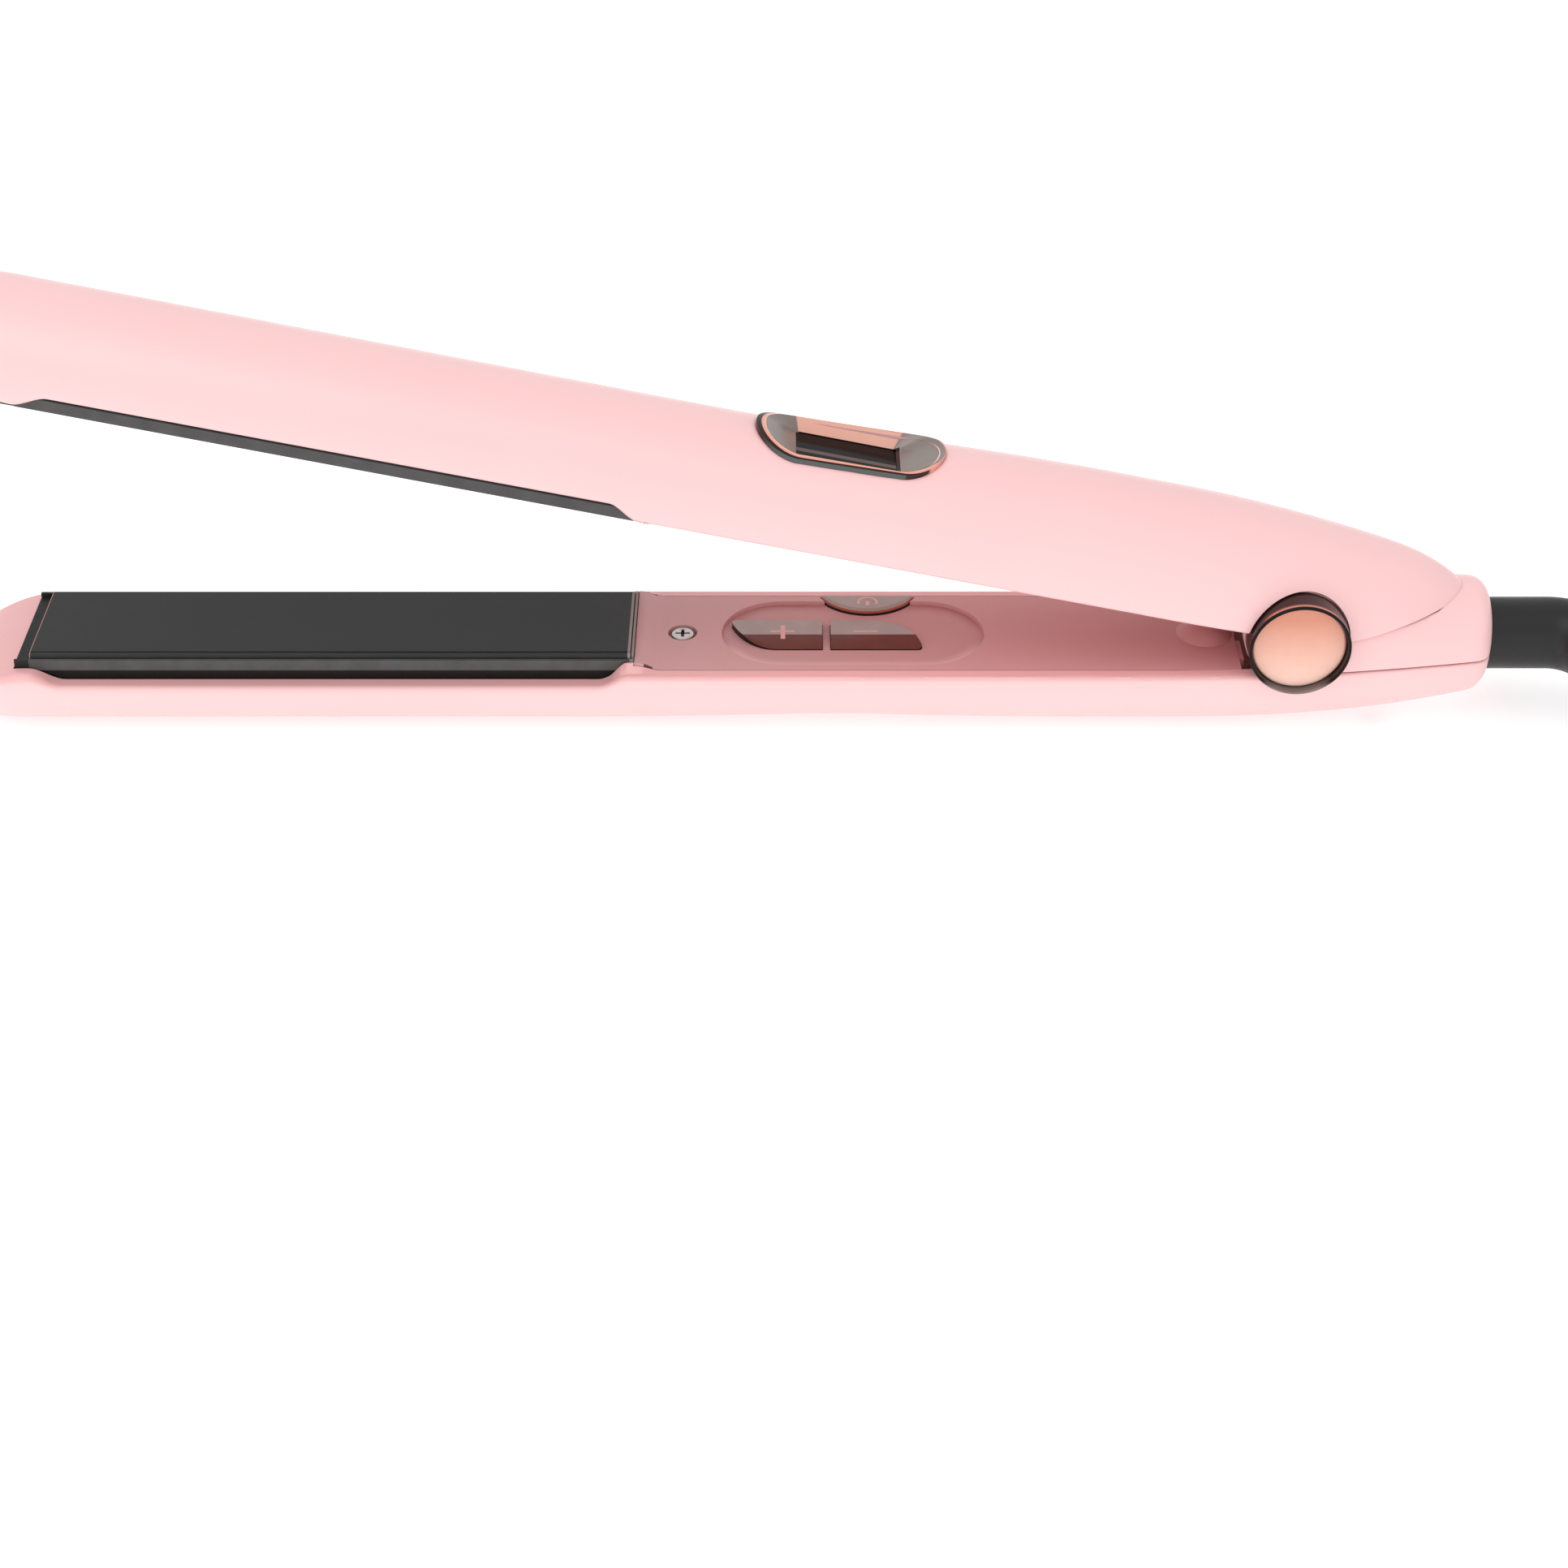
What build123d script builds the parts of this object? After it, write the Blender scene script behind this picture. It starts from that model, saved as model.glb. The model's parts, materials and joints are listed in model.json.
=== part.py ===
from build123d import *
import math
import os

# Flat iron with two long arms that swing on a hinge near the tail.
# Frame: X runs from the nose (-X) to the cord end (+X), Z is up, and Z = 0 is the surface
# on which the lower arm lies.  All sizes are in millimetres.

# ---- driving dimensions -------------------------------------------------------------
PLATE_LENGTH = 110.0
PLATE_HALF_WIDTH = 11.5
PLATE_THICKNESS = 2.4
PLATE_EDGE_RADIUS = 0.9
NOSE_X = -148.5
TAIL_X = 139.0
ARM_HALF_WIDTH = 16.0
ARM_DEPTH = 15.5              # a shell's depth below or above its parting plane
GRIP_BULGE = 2.4              # extra depth of the upper arm where the hand holds it
GRIP_WAIST = 0.8              # depth that the lower arm loses under the buttons
RIM_RADIUS = 1.3              # rounding of a shell's rim
NOSE_RIM_RADIUS = 2.2         # and at its nose
PLATE_STAND = 2.4             # height of a plate's face above its arm's parting plane
PLATE_GAP = 1.9               # between the plates while the arms are parallel
OPEN_ANGLE = 12.0             # degrees that the upper arm stands open at rest
RUN_FIT = 0.06                # radial clearance of a turning fit
SLIDE_FIT = 0.12              # gap round a sliding button or plate

# ---- levels and stations ----------------------------------------------------------------
PARTING_Z = ARM_DEPTH
PLATE_Z = PARTING_Z + PLATE_STAND
HINGE_X = 101.85
HINGE_Z = PLATE_Z + PLATE_GAP + PLATE_STAND
PLATE_X0 = -129.5
PLATE_X1 = PLATE_X0 + PLATE_LENGTH
HOLDER_HALF_WIDTH = 12.33
HOLDER_X0 = PLATE_X0 - 2.7
HOLDER_X1 = PLATE_X1 + 0.6
POCKET_HALF_WIDTH = 12.6      # the shell's opening round the plate holder
POCKET_X0 = HOLDER_X0 - 0.25
POCKET_X1 = -15.5
COVER_X0 = HOLDER_X1 + 0.15
COVER_X1 = 92.4
COVER_THICKNESS = 2.2
RIM_WIDTH = 2.64              # wall between the inner cover and the arm's side
SHELL_FLOOR = 2.2             # wall at the deepest line of a shell
PLATE_LIP = 1.3               # height of the cover's lip, beside the plate's end, over the parting plane
NOSE_ROUND_X = -132.5         # where the plan rounding of the nose starts
NOSE_DEEP_X = -138.5          # where the nose starts to lose depth
NOSE_FALL_X = -131.5          # where the top of the nose starts to fall
NOSE_FALL = 5.0               # how far it has fallen at the tip
TAPER_X = 80.0                # where the plan taper of the tail starts
TAIL_CORNER = 3.2             # rounding of the tail's end

# ---- hinge --------------------------------------------------------------------------
RING_RADIUS = 9.2
RING_BORE = 8.62
RING_FACE_Y = 17.7
DISC_RADIUS = 8.55
DISC_RECESS = 1.6
DISC_THICKNESS = 1.4
KNUCKLE_RADIUS = 9.4
KNUCKLE_Y = (9.2, 12.2)       # the lower arm's two knuckles, each side
EAR_RADIUS = 8.0
EAR_Y = (5.2, 8.9)            # the upper arm's two ears, each side
PIN_RADIUS = 2.0
BUSH_RADIUS = 3.2
SPRING_WIRE = 0.55
SPRING_TURNS = 5
SPRING_RADIUS = 3.4

# ---- buttons and recess --------------------------------------------------------------
RECESS_X = (-2.95, 45.95)
RECESS_HALF_WIDTH = 11.3
RECESS_DEPTH = 0.8
BUTTON_Y = (-4.9, 3.9)
PLUS_X = (-1.15, 15.75)
MINUS_X = (17.35, 34.35)
POWER_X = (15.45, 33.45)
POWER_Y = (7.4, 12.9)
SCREW_X = -10.25
SCREW_HEAD_RADIUS = 2.1

# ---- swivel cord outlet ----------------------------------------------------------------
SLEEVE_RADIUS = 6.7
SLEEVE_FLANGE_RADIUS = 7.4
TAIL_WALL = 3.0

# ---- smaller features --------------------------------------------------------------------
SCREW_SHAFT = 1.1
SCREW_HEAD = 1.2
SCREW_RECESS_RADIUS = 2.75
SCREW_RECESS_DEPTH = 1.3
CAP_SCREW_X = 119.0
CAP_SCREW_Y = 5.2
BOSS_RADIUS = 2.9
BUTTON_STAND = 0.3            # the buttons' tops above the cover
BEVEL_Y = -1.2                # where the level buttons' bevel starts
BEVEL_DROP = 0.95
FLANGE = 0.5
BOARD_Z = (9.4, 10.6)
SWITCH_TOP = 12.2
SHELF_Z = (12.9, 13.7)        # the plate holder's shelf, bottom and top
TROUGH = (9.2, 7.6)           # the holder's trough: half width and bottom level
FLOAT_TRAVEL = 0.5            # how far a plate gives in its holder
DOME_X = 87.0                 # low dome on the lower cover, near the hinge
DOME_RADIUS = 5.2
DOME_HEIGHT = 2.0


# The sleeve leaves the tail along X and bends towards the user, level with the table.
ELBOW_X = 150.6
ELBOW_BEND = 9.0
ELBOW_TURN = 60.0
RELIEF_LENGTH = 40.0
RELIEF_END_RADIUS = 3.9
RELIEF_GROOVES = 6
# Mains cord, 1.86 m: a short way down to the table, a tied hank and a two-pin plug.
CORD_DIAMETER = 5.6
CORD_ROUTE = [
    (178.39, -39.14, 15.5), (185.2, -51.0, 14.2), (195.2, -60.8, 10.0), (207.8, -65.6, 5.4),
    (222.0, -66.0, 2.8),
]
HANK_X = 222.0                # centre of the hank's first fold
HANK_RUN = 84.0
HANK_FOLD = 16.8              # radius of the inner turns' folds
HANK_Y = -43.6
HANK_HEIGHT = 3 * CORD_DIAMETER
CORD_END_ROUTE = [(220.0, -60.4, 14.0), (237.0, -58.9, 17.0), (255.0, -47.0, 22.4), (272.0, -43.6, 24.0)]
PLUG_WIDTH = 32.0
PLUG_HEIGHT = 13.6

# ---- display ------------------------------------------------------------------------------
BEZEL_X = 15.35
BEZEL_LENGTH = 34.5
BEZEL_WIDTH = 16.4
BEZEL_STAND = 0.8
BEZEL_RECESS = 4.4
WINDOW = (18.5, 12.0)
TAIL_SLOPE = 0.4              # slope of the lower edge of the upper arm's tail


# ---- shape laws of the arms --------------------------------------------------------------
def nose_round(x, start_x):
    """1 along the arm, falling to 0 at the tip of the nose as a quarter ellipse."""
    t = max(0.0, (start_x - x) / (start_x - NOSE_X))
    return math.sqrt(max(0.0, 1 - t * t))


def nose_fall(x):
    return NOSE_FALL * (max(0.0, NOSE_FALL_X - x) / (NOSE_FALL_X - NOSE_X)) ** 1.3


def nose_depth(x, depth):
    """Depth of a section under its parting plane, as the nose rounds up to its fallen top."""
    fall = nose_fall(x)
    return fall + (depth - fall) * nose_round(x, NOSE_DEEP_X)


def tail_corner(x):
    """Depth taken off the section by the rounding of the tail's end."""
    t = max(0.0, (x - (TAIL_X - TAIL_CORNER)) / TAIL_CORNER)
    return TAIL_CORNER * (1 - math.sqrt(max(0.0, 1 - t * t)))


def half_width(x):
    taper = 6.3 * (max(0.0, x - TAPER_X) / (TAIL_X - TAPER_X)) ** 1.75
    return (ARM_HALF_WIDTH - taper) * nose_round(x, NOSE_ROUND_X) - tail_corner(x)


def lower_depth(x):
    waist = GRIP_WAIST * math.exp(-(((x - 17.0) / 22.0) ** 2))
    taper = 5.3 * (max(0.0, x - 85.0) / 54.0) ** 2.5
    return nose_depth(x, ARM_DEPTH - waist - taper) - tail_corner(x)


def upper_depth(x):
    t = min(1.0, max(0.0, (x + 10.0) / 75.0))
    bulge = GRIP_BULGE * t * t * (3 - 2 * t)
    taper = 5.6 * (max(0.0, x - TAPER_X) / (TAIL_X - TAPER_X)) ** 1.75
    end = max(0.0, (x - 118.0) / 20.0)
    return nose_depth(x, ARM_DEPTH + bulge - taper) * (1 - end ** 2.5) ** 0.4


def upper_half_width(x):
    end = max(0.0, (x - 112.0) / 24.0)
    return half_width(x) * math.sqrt(1 - end * end)


def cap_height(x):
    return 10.9 + 9.2 * (max(0.0, 135.0 - x) / 25.0) ** 2.2 - tail_corner(x)


# ---- outlines -----------------------------------------------------------------------------
def d_section(x, width, depth, wall, plane_z, up):
    """D-shaped outline in the plane X = x.

    Half an ellipse below (up = -1) or above (up = 1) plane_z, with straight sides
    that reach wall beyond plane_z and a flat across them.
    """
    k = 0.5523
    flat_z = plane_z - up * wall
    far_z = plane_z + up * depth
    mid_z = plane_z + up * depth * k
    right, left = (x, width, plane_z), (x, -width, plane_z)
    apex = (x, 0, far_z)
    return Wire([
        Edge.make_line((x, -width, flat_z), (x, width, flat_z)),
        Edge.make_line((x, width, flat_z), right),
        Edge.make_bezier(right, (x, width, mid_z), (x, width * k, far_z), apex),
        Edge.make_bezier(apex, (x, -width * k, far_z), (x, -width, mid_z), left),
        Edge.make_line(left, (x, -width, flat_z)),
    ])


def arm_loft(stations, width, depth, wall, plane_z, up, ruled=False):
    """Solid through D-sections whose sizes are functions of x."""
    sections = [d_section(x, width(x), depth(x), wall, plane_z, up) for x in stations]
    return Solid.make_loft(sections, ruled)


def nose_stations():
    """Sections that crowd together towards the tip, down to a small blunt end."""
    length = NOSE_ROUND_X - NOSE_X
    return [NOSE_ROUND_X - length * math.sin(math.radians(84 - 4 * i)) for i in range(21)]


def mid_stations(first, last, step):
    count = max(1, round((last - first) / step))
    return [first + (last - first) * i / count for i in range(count + 1)]


def s_curve(x0, z0, x1, z1):
    """A smooth step with level ends."""
    xm = (x0 + x1) / 2
    return Edge.make_bezier((x0, 0, z0), (xm, 0, z0), (xm, 0, z1), (x1, 0, z1))


def xz_prism(edges, y0, y1):
    """Closed outline in the XZ plane, extruded from y0 to y1."""
    face = Face(Wire(edges))
    return Solid.extrude(face.moved(Location((0, y0, 0))), Vector(0, y1 - y0, 0))


def block(x0, x1, y0, y1, z0, z1):
    return Solid.make_box(x1 - x0, y1 - y0, z1 - z0, Plane((x0, y0, z0)))


def rod(radius, x, z, y0, y1):
    """Cylinder along Y."""
    return Solid.make_cylinder(radius, y1 - y0, Plane((x, y0, z), z_dir=(0, 1, 0)))


def post(radius, x, y, z0, z1):
    """Cylinder along Z."""
    return Solid.make_cylinder(radius, z1 - z0, Plane((x, y, z0)))


def mirror_up(shape):
    """The same piece for the upper arm, while the arms are parallel."""
    middle = (PLATE_Z + PLATE_Z + PLATE_GAP) / 2
    return shape.mirror(Plane((0, 0, middle)))


def opened(shape):
    """Swings an upper-arm piece from parallel to its rest position."""
    return shape.rotate(Axis((HINGE_X, 0, HINGE_Z), (0, 1, 0)), OPEN_ANGLE)


# ---- the two arms' outer and inner forms -----------------------------------------------------
EXTRA = 3.0                   # how far a hollow's straight side reaches past the parting plane
SIDE = 0.7                    # how far the straight side goes on inside the shell
SCOOP = 2.4                   # depth of the rim below the parting plane beside the plate
UPPER_WALL = 1.6
SCOOP_X = (-129.6, -123.2, -25.45, -19.8)
LIP_X = (-23.6, -20.2, -18.5, -13.6)


def smooth_step(x, x0, x1):
    t = min(1.0, max(0.0, (x - x0) / (x1 - x0)))
    return t * t * (3 - 2 * t)


def rim_height(x):
    """Height of a shell's rim over its parting plane: it falls at the nose's tip and dips
    beside the plate."""
    dip = smooth_step(x, SCOOP_X[0], SCOOP_X[1]) - smooth_step(x, SCOOP_X[2], SCOOP_X[3])
    return -SCOOP * dip - nose_fall(x)


def rim_radius(x):
    return NOSE_RIM_RADIUS - (NOSE_RIM_RADIUS - RIM_RADIUS) * smooth_step(x, SCOOP_X[0] - 4, SCOOP_X[1])


def rimmed_section(x, width, depth, plane_z, up, rise):
    """D-shaped outline whose flat lies rise beyond plane_z and whose rim corners are round.

    Each side is part of an ellipse.  Its centre is on plane_z, or beyond it where the rim
    stands higher than its own rounding.
    """
    r = min(rim_radius(x), 0.3 * depth, 0.3 * width)
    centre = max(0.0, rise - r)
    deep = depth + centre

    def bowl(angle):
        return width * math.cos(angle), centre - deep * math.sin(angle)

    def point(y, h):
        return (x, y, plane_z - up * h)

    start = math.asin((centre + r - rise) / deep)
    top_y = bowl(math.asin(max(0.0, centre - rise) / deep))[0]
    y0, h0 = bowl(start)
    ty, th = -width * math.sin(start), -deep * math.cos(start)
    reach = 0.55 * r / math.hypot(ty, th)
    handle = 4 / 3 * math.tan((math.pi / 2 - start) / 4)
    corner = [(top_y - r, rise), (top_y - 0.45 * r, rise), (y0 - ty * reach, h0 - th * reach), (y0, h0)]
    side = [(y0, h0), (y0 + ty * handle, h0 + th * handle), (width * handle, -depth), (0, -depth)]
    right = [Edge.make_bezier(*[point(y, h) for y, h in pts]) for pts in (corner, side)]
    left = [Edge.make_bezier(*[point(-y, h) for y, h in reversed(pts)]) for pts in (side, corner)]
    flat = Edge.make_line(point(-top_y + r, rise), point(top_y - r, rise))
    return Wire([flat] + right + left)


def rimmed_loft(front, middle, end, width, depth, plane_z, up):
    """Three lofts end to end: close ruled sections at both ends, a smooth one between."""
    form = None
    for stations, ruled in ((front, True), (middle, False), (end, True)):
        sections = [
            rimmed_section(x, width(x), depth(x), plane_z, up, rim_height(x)) for x in stations
        ]
        zone = Solid.make_loft(sections, ruled)
        form = zone if form is None else form + zone
    return form


FRONT_STATIONS = (
    nose_stations()
    + mid_stations(NOSE_ROUND_X, SCOOP_X[1] + 1.0, 0.8)
    + mid_stations(SCOOP_X[2] - 1.0, SCOOP_X[3] + 1.0, 0.6)
)
GRIP_STATIONS = mid_stations(SCOOP_X[3] + 1.0, 80.0, 9.0)
TAIL_STATIONS = [86.0, 92.0, 98.0, 104.0, 110.0, 116.0, 122.0, 127.0, 131.0, TAIL_X - TAIL_CORNER]
CORNER_STATIONS = [TAIL_X - back for back in (TAIL_CORNER, 2.5, 1.9, 1.4, 0.9, 0.6, 0.3, 0.1, 0)]
UPPER_TAIL_STATIONS = [86.0, 92.0, 98.0, 104.0, 110.0, 115.0, 119.0, 123.0]
UPPER_END_STATIONS = [123.0, 125.0, 127.0, 128.5, 130.0, 131.3, 132.5, 133.5, 134.5]


def lower_outer():
    middle = GRIP_STATIONS + TAIL_STATIONS
    return rimmed_loft(FRONT_STATIONS, middle, CORNER_STATIONS, half_width, lower_depth, PARTING_Z, -1)


def upper_outer():
    middle = GRIP_STATIONS + UPPER_TAIL_STATIONS
    return rimmed_loft(
        FRONT_STATIONS, middle, UPPER_END_STATIONS, upper_half_width, upper_depth, HINGE_Z, 1,
    )


def hollow(stations, width, depth, plane_z, up, past=EXTRA, ruled=False):
    """D-shaped form; its sides are straight from SIDE inside the shell to past outside it."""
    return arm_loft(
        stations, width, lambda x: depth(x) - SIDE, past + SIDE, plane_z + up * SIDE, up, ruled,
    )


def lower_cavity(gap=0.0):
    """Hollow of the lower arm's handle; gap makes the form of a cover that fits it."""
    return hollow(
        mid_stations(COVER_X0 - 0.1, 80.0, 12.5) + TAIL_STATIONS,
        lambda x: half_width(x) - RIM_WIDTH - gap,
        lambda x: lower_depth(x) - SHELL_FLOOR - gap,
        PARTING_Z, -1,
    )


def upper_cavity(gap=0.0):
    return hollow(
        mid_stations(COVER_X0 - 0.1, 80.0, 12.5) + UPPER_TAIL_STATIONS + [127.0, 130.0],
        lambda x: upper_half_width(x) - RIM_WIDTH + (RIM_WIDTH - UPPER_WALL) * smooth_step(x, 80, 100) - gap,
        lambda x: upper_depth(x) - UPPER_WALL - gap,
        HINGE_Z, 1,
    )


def plate_pocket(plane_z, up):
    """Hollow of an arm's front half, where the plate holder sits."""
    depth = ARM_DEPTH - SHELL_FLOOR
    return hollow(
        [POCKET_X0, (POCKET_X0 + POCKET_X1) / 2, POCKET_X1],
        lambda x: POCKET_HALF_WIDTH, lambda x: depth, plane_z, up, EXTRA + 1,
    )


def plate_shoulders():
    """Low ridges on the rim that lead up to the cover's lip at the plate's end."""
    ridges = []
    for side in (-1, 1):
        sections = []
        for x in mid_stations(LIP_X[0], LIP_X[3], 0.8):
            rise = smooth_step(x, LIP_X[0], LIP_X[1]) - smooth_step(x, LIP_X[2], LIP_X[3])
            rim_z = PARTING_Z + rim_height(x)
            top_z = rim_z - 0.04 + PLATE_LIP * rise
            outline = [
                (POCKET_HALF_WIDTH - 0.5, rim_z - 1.0), (POCKET_HALF_WIDTH - 0.5, top_z),
                (POCKET_HALF_WIDTH + 0.35, top_z), (14.7, rim_z - 0.05), (14.7, rim_z - 1.0),
            ]
            sections.append(Wire.make_polygon([(x, side * y, z) for y, z in outline]))
        ridges.append(Solid.make_loft(sections, True))
    return ridges


# ---- lower arm ----------------------------------------------------------------------------
KNUCKLE_NOTCH = KNUCKLE_RADIUS + 0.15


def x_rod(radius, x0, x1, y=0.0, z=PARTING_Z):
    """Cylinder along X."""
    return Solid.make_cylinder(radius, x1 - x0, Plane((x0, y, z), z_dir=(1, 0, 0)))


def lower_shell():
    cavity = lower_cavity()
    shell = lower_outer()
    for ridge in plate_shoulders():
        shell += ridge
    shell = shell - cavity - plate_pocket(PARTING_Z, -1)
    boss = post(BOSS_RADIUS, SCREW_X, 0, 0.8, PARTING_Z - COVER_THICKNESS)
    shell += boss - post(SCREW_SHAFT, SCREW_X, 0, 4.0, PARTING_Z)
    for y in (-CAP_SCREW_Y, CAP_SCREW_Y):
        shell += post(BOSS_RADIUS, CAP_SCREW_X, y, 3.6, PARTING_Z) & lower_cavity(-0.4)
        shell -= post(SCREW_SHAFT + 0.1, CAP_SCREW_X, y, 0, 20)
        shell -= post(SCREW_HEAD_RADIUS + 0.1, CAP_SCREW_X, y, 0, 5.2)
    shell -= rod(KNUCKLE_NOTCH, HINGE_X, HINGE_Z, -20, 20)
    shell -= x_rod(SLEEVE_RADIUS + RUN_FIT, TAIL_X - TAIL_WALL - 1, TAIL_X + 1)
    return shell


def plus_outline(grow=0.0):
    """Button with a large curve at its near nose-side corner, as a face on Z = 0."""
    x0, x1 = PLUS_X[0] - grow, PLUS_X[1] + grow
    y0, y1 = BUTTON_Y[0] - grow, BUTTON_Y[1] + grow
    return Face(Wire([
        Edge.make_line((x1, y0), (x1, y1)),
        Edge.make_line((x1, y1), (x0 + 1, y1)),
        Edge.make_bezier((x0 + 1, y1), (x0, y1), (x0, y1 - 0.5), (x0 + 0.2, y1 - 1.2)),
        Edge.make_bezier((x0 + 0.2, y1 - 1.2), (x0 + 1.6, y1 - 5.5), (x0 + 4.6, y0), (x0 + 8.6, y0)),
        Edge.make_line((x0 + 8.6, y0), (x1, y0)),
    ]))


def minus_outline(grow=0.0):
    """Button with a large curve at its far hinge-side corner, as a face on Z = 0."""
    x0, x1 = MINUS_X[0] - grow, MINUS_X[1] + grow
    y0, y1 = BUTTON_Y[0] - grow, BUTTON_Y[1] + grow
    return Face(Wire([
        Edge.make_line((x0, y0), (x0, y1)),
        Edge.make_line((x0, y1), (x0 + 7.4, y1)),
        Edge.make_bezier((x0 + 7.4, y1), (x1 - 4.8, y1), (x1 - 1.4, y0 + 5.2), (x1 - 0.2, y0 + 1.4)),
        Edge.make_bezier((x1 - 0.2, y0 + 1.4), (x1, y0 + 0.6), (x1 - 0.3, y0), (x1 - 1.2, y0)),
        Edge.make_line((x1 - 1.2, y0), (x0, y0)),
    ]))


def power_outline(grow=0.0):
    """Half-moon button at the far edge of the cover, as a face on Z = 0."""
    x0, x1 = POWER_X[0] - grow, POWER_X[1] + grow
    y0, y1 = POWER_Y[0] - grow, POWER_Y[1] + grow / 3
    return Face(Wire([
        Edge.make_three_point_arc((x0, y1), ((x0 + x1) / 2, y0), (x1, y1)),
        Edge.make_line((x1, y1), (x0, y1)),
    ]))


def raise_outline(outline, z0, z1):
    return Solid.extrude(outline.moved(Location((0, 0, z0))), Vector(0, 0, z1 - z0))


def cover_slab():
    """Inner cover before its openings: level, with a step up at the plate's end."""
    z0, z1, z2 = PARTING_Z - COVER_THICKNESS, PARTING_Z, PARTING_Z + PLATE_LIP
    step_x, level_x = LIP_X[2], LIP_X[3]
    slab = xz_prism([
        Edge.make_line((COVER_X0, 0, z2), (step_x, 0, z2)),
        s_curve(step_x, z2, level_x, z1),
        Edge.make_line((level_x, 0, z1), (COVER_X1, 0, z1)),
        Edge.make_line((COVER_X1, 0, z1), (COVER_X1, 0, z0)),
        Edge.make_line((COVER_X1, 0, z0), (COVER_X0, 0, z0)),
        Edge.make_line((COVER_X0, 0, z0), (COVER_X0, 0, z2)),
    ], -20, 20)
    cover = slab & lower_cavity(0.06)
    for side in (-1, 1):
        bevel = [(side * y, z) for y, z in ((12.9, z2 + 0.1), (14, z2 + 0.1), (14, z1), (13.5, z1))]
        face = Face(Wire.make_polygon([(COVER_X0 - 1, y, z) for y, z in bevel]))
        cover -= Solid.extrude(face, Vector(6, 0, 0))
    cover -= post(SCREW_SHAFT + 0.1, SCREW_X, 0, z0 - 1, z1 + 1)
    cover -= post(SCREW_RECESS_RADIUS, SCREW_X, 0, z1 - SCREW_RECESS_DEPTH, z1 + 1)
    for y in (-13.05, 13.05):
        cover -= block(-16.9, -15.4, y - 0.3, y + 0.3, z1 - 0.6, z1 + 3)
    return cover


def lower_inner_cover():
    z0, z1 = PARTING_Z - COVER_THICKNESS, PARTING_Z
    cover = cover_slab()
    middle, length = (RECESS_X[0] + RECESS_X[1]) / 2, RECESS_X[1] - RECESS_X[0]
    recess = SlotOverall(length, 2 * RECESS_HALF_WIDTH)
    cover -= extrude(Pos(middle, 0, z1 - RECESS_DEPTH) * recess, 3)
    for outline in (plus_outline(SLIDE_FIT), minus_outline(SLIDE_FIT), power_outline(SLIDE_FIT)):
        cover -= raise_outline(outline, z0 - 1, z1 + 4)
    ball = (DOME_RADIUS ** 2 + DOME_HEIGHT ** 2) / (2 * DOME_HEIGHT)
    dome = Solid.make_sphere(ball, Plane((DOME_X, 0, z1 + DOME_HEIGHT - ball)))
    cover += dome & block(75, COVER_X1, -8, 8, z1 - 0.5, z1 + 2)
    cover += block(COVER_X1 - 0.5, COVER_X1 + 0.9, -9.0, -2.6, z0 + 0.3, z1 - 0.2)
    return cover


def push_button(outline_of):
    """Cap through the cover, with a flange under it and a bevel towards the user."""
    z_flange = PARTING_Z - COVER_THICKNESS
    top = PARTING_Z + BUTTON_STAND
    button = raise_outline(outline_of(), z_flange - FLANGE, top)
    flange = raise_outline(outline_of(0.7), z_flange - FLANGE, z_flange - 0.02)
    return button + (flange & lower_cavity(0.2)), top


def level_button(outline_of):
    button, top = push_button(outline_of)
    wedge = Face(Wire.make_polygon([
        (-10, BEVEL_Y, top), (-10, BEVEL_Y, top + 2), (-10, -8, top + 2),
        (-10, -8, top - BEVEL_DROP * (BEVEL_Y + 8) / (BEVEL_Y - BUTTON_Y[0])),
    ]))
    return button - Solid.extrude(wedge, Vector(60, 0, 0))


def power_button():
    button, top = push_button(power_outline)
    arc = [e for e in button.edges().group_by(Axis.Z)[-1] if e.geom_type == GeomType.CIRCLE]
    return button.chamfer(0.9, None, arc)


def plate(z0):
    """Heating plate whose long edges are rounded on the working face."""
    body = block(PLATE_X0, PLATE_X1, -PLATE_HALF_WIDTH, PLATE_HALF_WIDTH, z0, z0 + PLATE_THICKNESS)
    top_edges = body.edges().group_by(Axis.Z)[-1]
    rounded = body.fillet(PLATE_EDGE_RADIUS, top_edges.filter_by(Axis.X))
    for side in (-1, 1):
        y = side * 10.7
        groove = block(PLATE_X0 - 1, PLATE_X1 + 1, y - 0.12, y + 0.12, z0 + PLATE_THICKNESS - 0.15, z0 + 9)
        rounded -= groove
    return rounded


def plate_holder():
    """Heat-proof channel: a trough for the heater, a shelf and two side walls."""
    w, top = HOLDER_HALF_WIDTH, PLATE_Z - 0.9
    inner = PLATE_HALF_WIDTH + 0.22
    half = [
        (w, top), (w, SHELF_Z[0]), (TROUGH[0], SHELF_Z[0]), (TROUGH[0], TROUGH[1]),
    ]
    inside = [
        (TROUGH[0] - 0.8, TROUGH[1] + 0.8), (TROUGH[0] - 0.8, SHELF_Z[1]), (inner, SHELF_Z[1]),
        (inner, top),
    ]
    outline = half + [(-y, z) for y, z in reversed(half)]
    outline += [(-y, z) for y, z in reversed(inside)] + inside
    face = Face(Wire.make_polygon([(HOLDER_X0, y, z) for y, z in outline]))
    holder = Solid.extrude(face, Vector(HOLDER_X1 - HOLDER_X0, 0, 0))
    nose_end = block(HOLDER_X0, PLATE_X0 - 0.25, -11.65, 11.65, SHELF_Z[0], PLATE_Z - 1.75)
    grip_end = block(PLATE_X1 + 0.2, HOLDER_X1, -11.3, 11.3, SHELF_Z[0], PLATE_Z - 0.15)
    return holder + nose_end + grip_end


def heater():
    return block(-112, -38, -5.5, 5.5, PARTING_Z - 1.8, PARTING_Z)


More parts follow.
